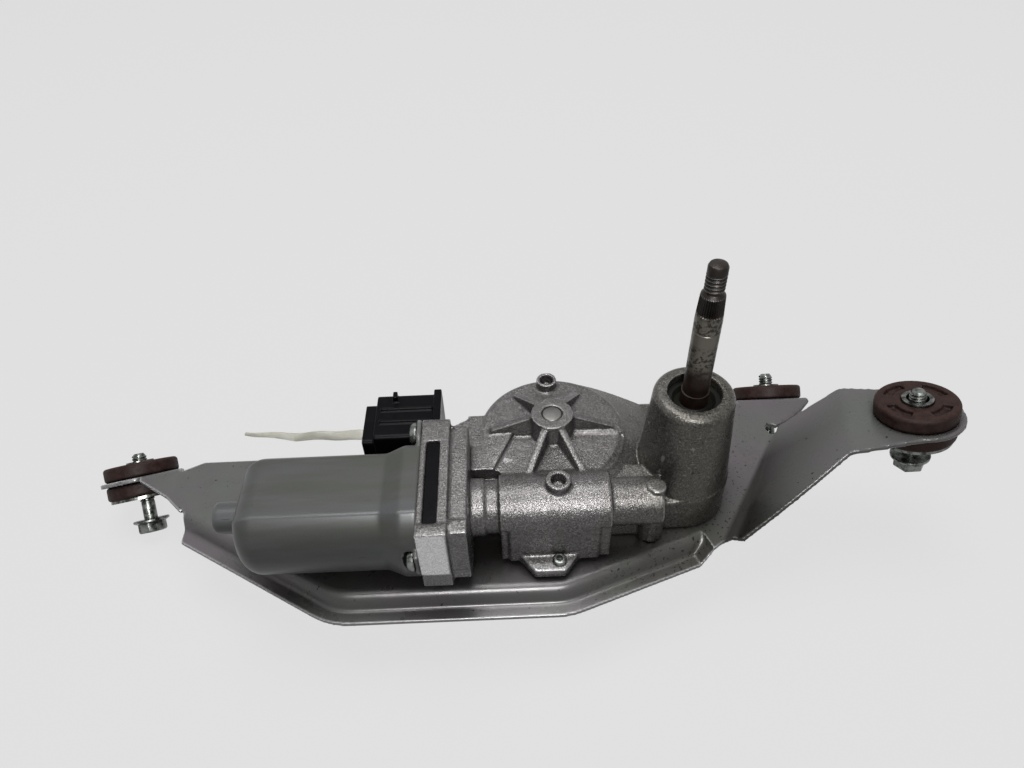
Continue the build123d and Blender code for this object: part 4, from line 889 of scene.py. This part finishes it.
captiveBolt = {
    "shank": [(0, -15.4), (2.4, -15.4), (2.4, -9), (2.3, -8.6), (2.3, 8.9), (1.7, 9.8), (0, 9.8)],
    "shankSteps": 40,
    "flange": [(0, -15.26), (6.1, -15.26), (6.35, -15.5), (6.3, -16.1), (5.2, -16.7), (4.2, -16.8),
               (0, -16.8)],
    "flangeSteps": 48,
    "hexRadius": 5.14,
    "hexFoot": -20.25,
    "hexTop": -16.2,
    "hexRound": 0.7,
    "hexSoft": 0.18,
    "thread": {"radius": 2.65, "depth": 0.36, "pitch": 1.0, "foot": -8.6, "turns": 17, "steps": 28},
    "seats": {  # the grommet's middle, the bolt's direction, and how far it is pushed up
        "left": ((-196.501, 26.167, -12.724), (-0.1695, 0.7114, 0.682), 0),
        "middle": ((47.7, 52.972, -12.724), (0, 0.7314, 0.682), 1.5),
        "right": ((77.706, 8.229, 24.6), (-0.105, 0.246, 0.9636), 0),
    },
}


def makeHexHead():
    foot, top = captiveBolt["hexFoot"], captiveBolt["hexTop"]
    deselectAll()
    bpy.ops.mesh.primitive_cylinder_add(vertices=6, radius=captiveBolt["hexRadius"] * mm,
                                        depth=(top - foot) * mm, location=(0, 0, (top + foot) / 2 * mm))
    head = bpy.context.object
    bpy.ops.object.transform_apply(location=True, rotation=True, scale=True)
    # the edges round the head's free end are rounded off
    footLimit = (foot + 0.1) * mm
    for vertex in head.data.vertices:
        vertex.select = vertex.co.z < footLimit
    for edge in head.data.edges:
        edge.select = all(head.data.vertices[index].select for index in edge.vertices)
    for face in head.data.polygons:
        face.select = face.normal.z < -0.9
    bpy.ops.object.mode_set(mode="EDIT")
    bpy.ops.mesh.select_mode(type="EDGE")
    bpy.ops.mesh.bevel(offset=captiveBolt["hexRound"] * mm, segments=3, affect="EDGES")
    bpy.ops.object.mode_set(mode="OBJECT")
    softenEdges(head, captiveBolt["hexSoft"], 40)
    return head


def makeCaptiveBolt(side):
    seat, normal, lift = captiveBolt["seats"][side]
    shank = lathe(f"captiveBolt_{side}", captiveBolt["shank"], captiveBolt["shankSteps"])
    flange = lathe("boltFlange", captiveBolt["flange"], captiveBolt["flangeSteps"])
    head = makeHexHead()
    joinInto(shank, [flange, head, threadRidge("boltThread", captiveBolt["thread"])])
    raised = Vector(seat) + Vector(normal).normalized() * lift
    seatOn(shank, raised, normal)
    standFor(shank, f"bolt_{side}")


yokeScrew = {
    # head profile from its seat outwards, with the driver recess in its middle
    "head": [(0, 0), (3.45, 0), (3.7, 0.3), (3.66, 1.1), (3.1, 2.0), (2.2, 2.42), (1.5, 2.5),
             (1.35, 2.3), (0.7, 1.1), (0, 0.8)],
    "headSteps": 48,
    "shank": [(0, -9.5), (1.7, -9.5), (2.05, -9.0), (2.05, 0.2), (0, 0.2)],
    "shankSteps": 32,
    "seats": [(-85.6, 2.0, 32.4), (-85.6, -36.0, 19.9)],
}
lugScrew = {
    "head": [(0, 0), (2.05, 0), (2.2, 0.2), (2.15, 0.9), (1.85, 1.4), (1.3, 1.6), (1.05, 1.55),
             (0.95, 1.2), (0.6, 0.7), (0, 0.6)],
    "headSteps": 40,
    "shank": [(0, -7.8), (1.1, -7.8), (1.38, -7.4), (1.38, 0.1), (0, 0.1)],
    "shankSteps": 24,
}


def makeScrew(pieceName, look, seat, normal):
    screw = lathe(pieceName, look["head"], look["headSteps"])
    joinInto(screw, [lathe("screwShank", look["shank"], look["shankSteps"])])
    seatOn(screw, seat, normal)
    return screw


def makeYokeScrews():
    made = []
    for number, seat in enumerate(yokeScrew["seats"]):
        made.append(makeScrew(f"yokeScrew{number}", yokeScrew, seat, (-1, 0, 0)))
    made[0].name = "yokeScrews"
    joinInto(made[0], made[1:])
    standFor(made[0], "yoke_screws")


def makeLugScrew():
    low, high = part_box("lug_screw")
    headHeight = max(height for radius, height in lugScrew["head"])
    seat = ((low[0] + high[0]) / 2 / mm, (low[1] + high[1]) / 2 / mm, high[2] / mm - headHeight)
    standFor(makeScrew("lugScrew", lugScrew, seat, (0, 0, 1)), "lug_screw")


wheelAxle = {
    "seat": (-42.4, 9.7, 0),
    "profile": [(0, 7.7), (3.3, 7.7), (3.37, 7.9), (3.37, 30.9), (2.95, 31.35), (2.6, 31.42),
                (0, 31.45)],
    "steps": 48,
}


def makeAxle():
    axle = lathe("wheelAxle", wheelAxle["profile"], wheelAxle["steps"])
    shadeTurned(axle)
    seatOn(axle, wheelAxle["seat"], (0, 0, 1))
    standFor(axle, "wheel_axle")


makeWiperShaft()
for side in captiveBolt["seats"]:
    makeCaptiveBolt(side)
makeYokeScrews()
makeLugScrew()
makeAxle()
print("shaft, bolts and screws are turned")

tieTail = {
    "stations": 26,
    "turn": -38,  # degrees round its own length
    "axis": (0, 21.4, 13.4),
    "wave": 0.35,
    "waveLength": 15.0,
    "smallWave": 0.5,  # as a share of the wave
    "smallWaveStep": 6.3,
    "straightEnd": 8,  # mm over which the waves grow to their full height
    "round": 0.25,
}


def makeTieTail():
    tail = copyOf("cable_tie", "cableTieTail")
    low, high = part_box("cable_tie")
    bpy.ops.object.mode_set(mode="EDIT")
    for station in range(1, tieTail["stations"]):
        cut = low[0] + (high[0] - low[0]) * station / tieTail["stations"]
        bpy.ops.mesh.select_all(action="SELECT")
        bpy.ops.mesh.bisect(plane_co=(cut, 0, 0), plane_no=(1, 0, 0))
    bpy.ops.object.mode_set(mode="OBJECT")
    centre = Matrix.Translation(tuple(value * mm for value in tieTail["axis"]))
    turn = Matrix.Rotation(math.radians(tieTail["turn"]), 4, "X")
    tail.data.transform(centre @ turn @ centre.inverted())
    for vertex in tail.data.vertices:
        along = (high[0] - vertex.co.x) / mm
        ripple = math.sin(along / tieTail["waveLength"] * math.tau)
        ripple += tieTail["smallWave"] * math.sin(along / tieTail["smallWaveStep"])
        vertex.co.z += ripple * tieTail["wave"] * mm * min(1, along / tieTail["straightEnd"])
    softenEdges(tail, tieTail["round"], 50)
    tail.select_set(True)
    bpy.ops.object.shade_smooth_by_angle(angle=math.radians(40))
    standFor(tail, "cable_tie")


makeTieTail()
print("cable tie is shaped")
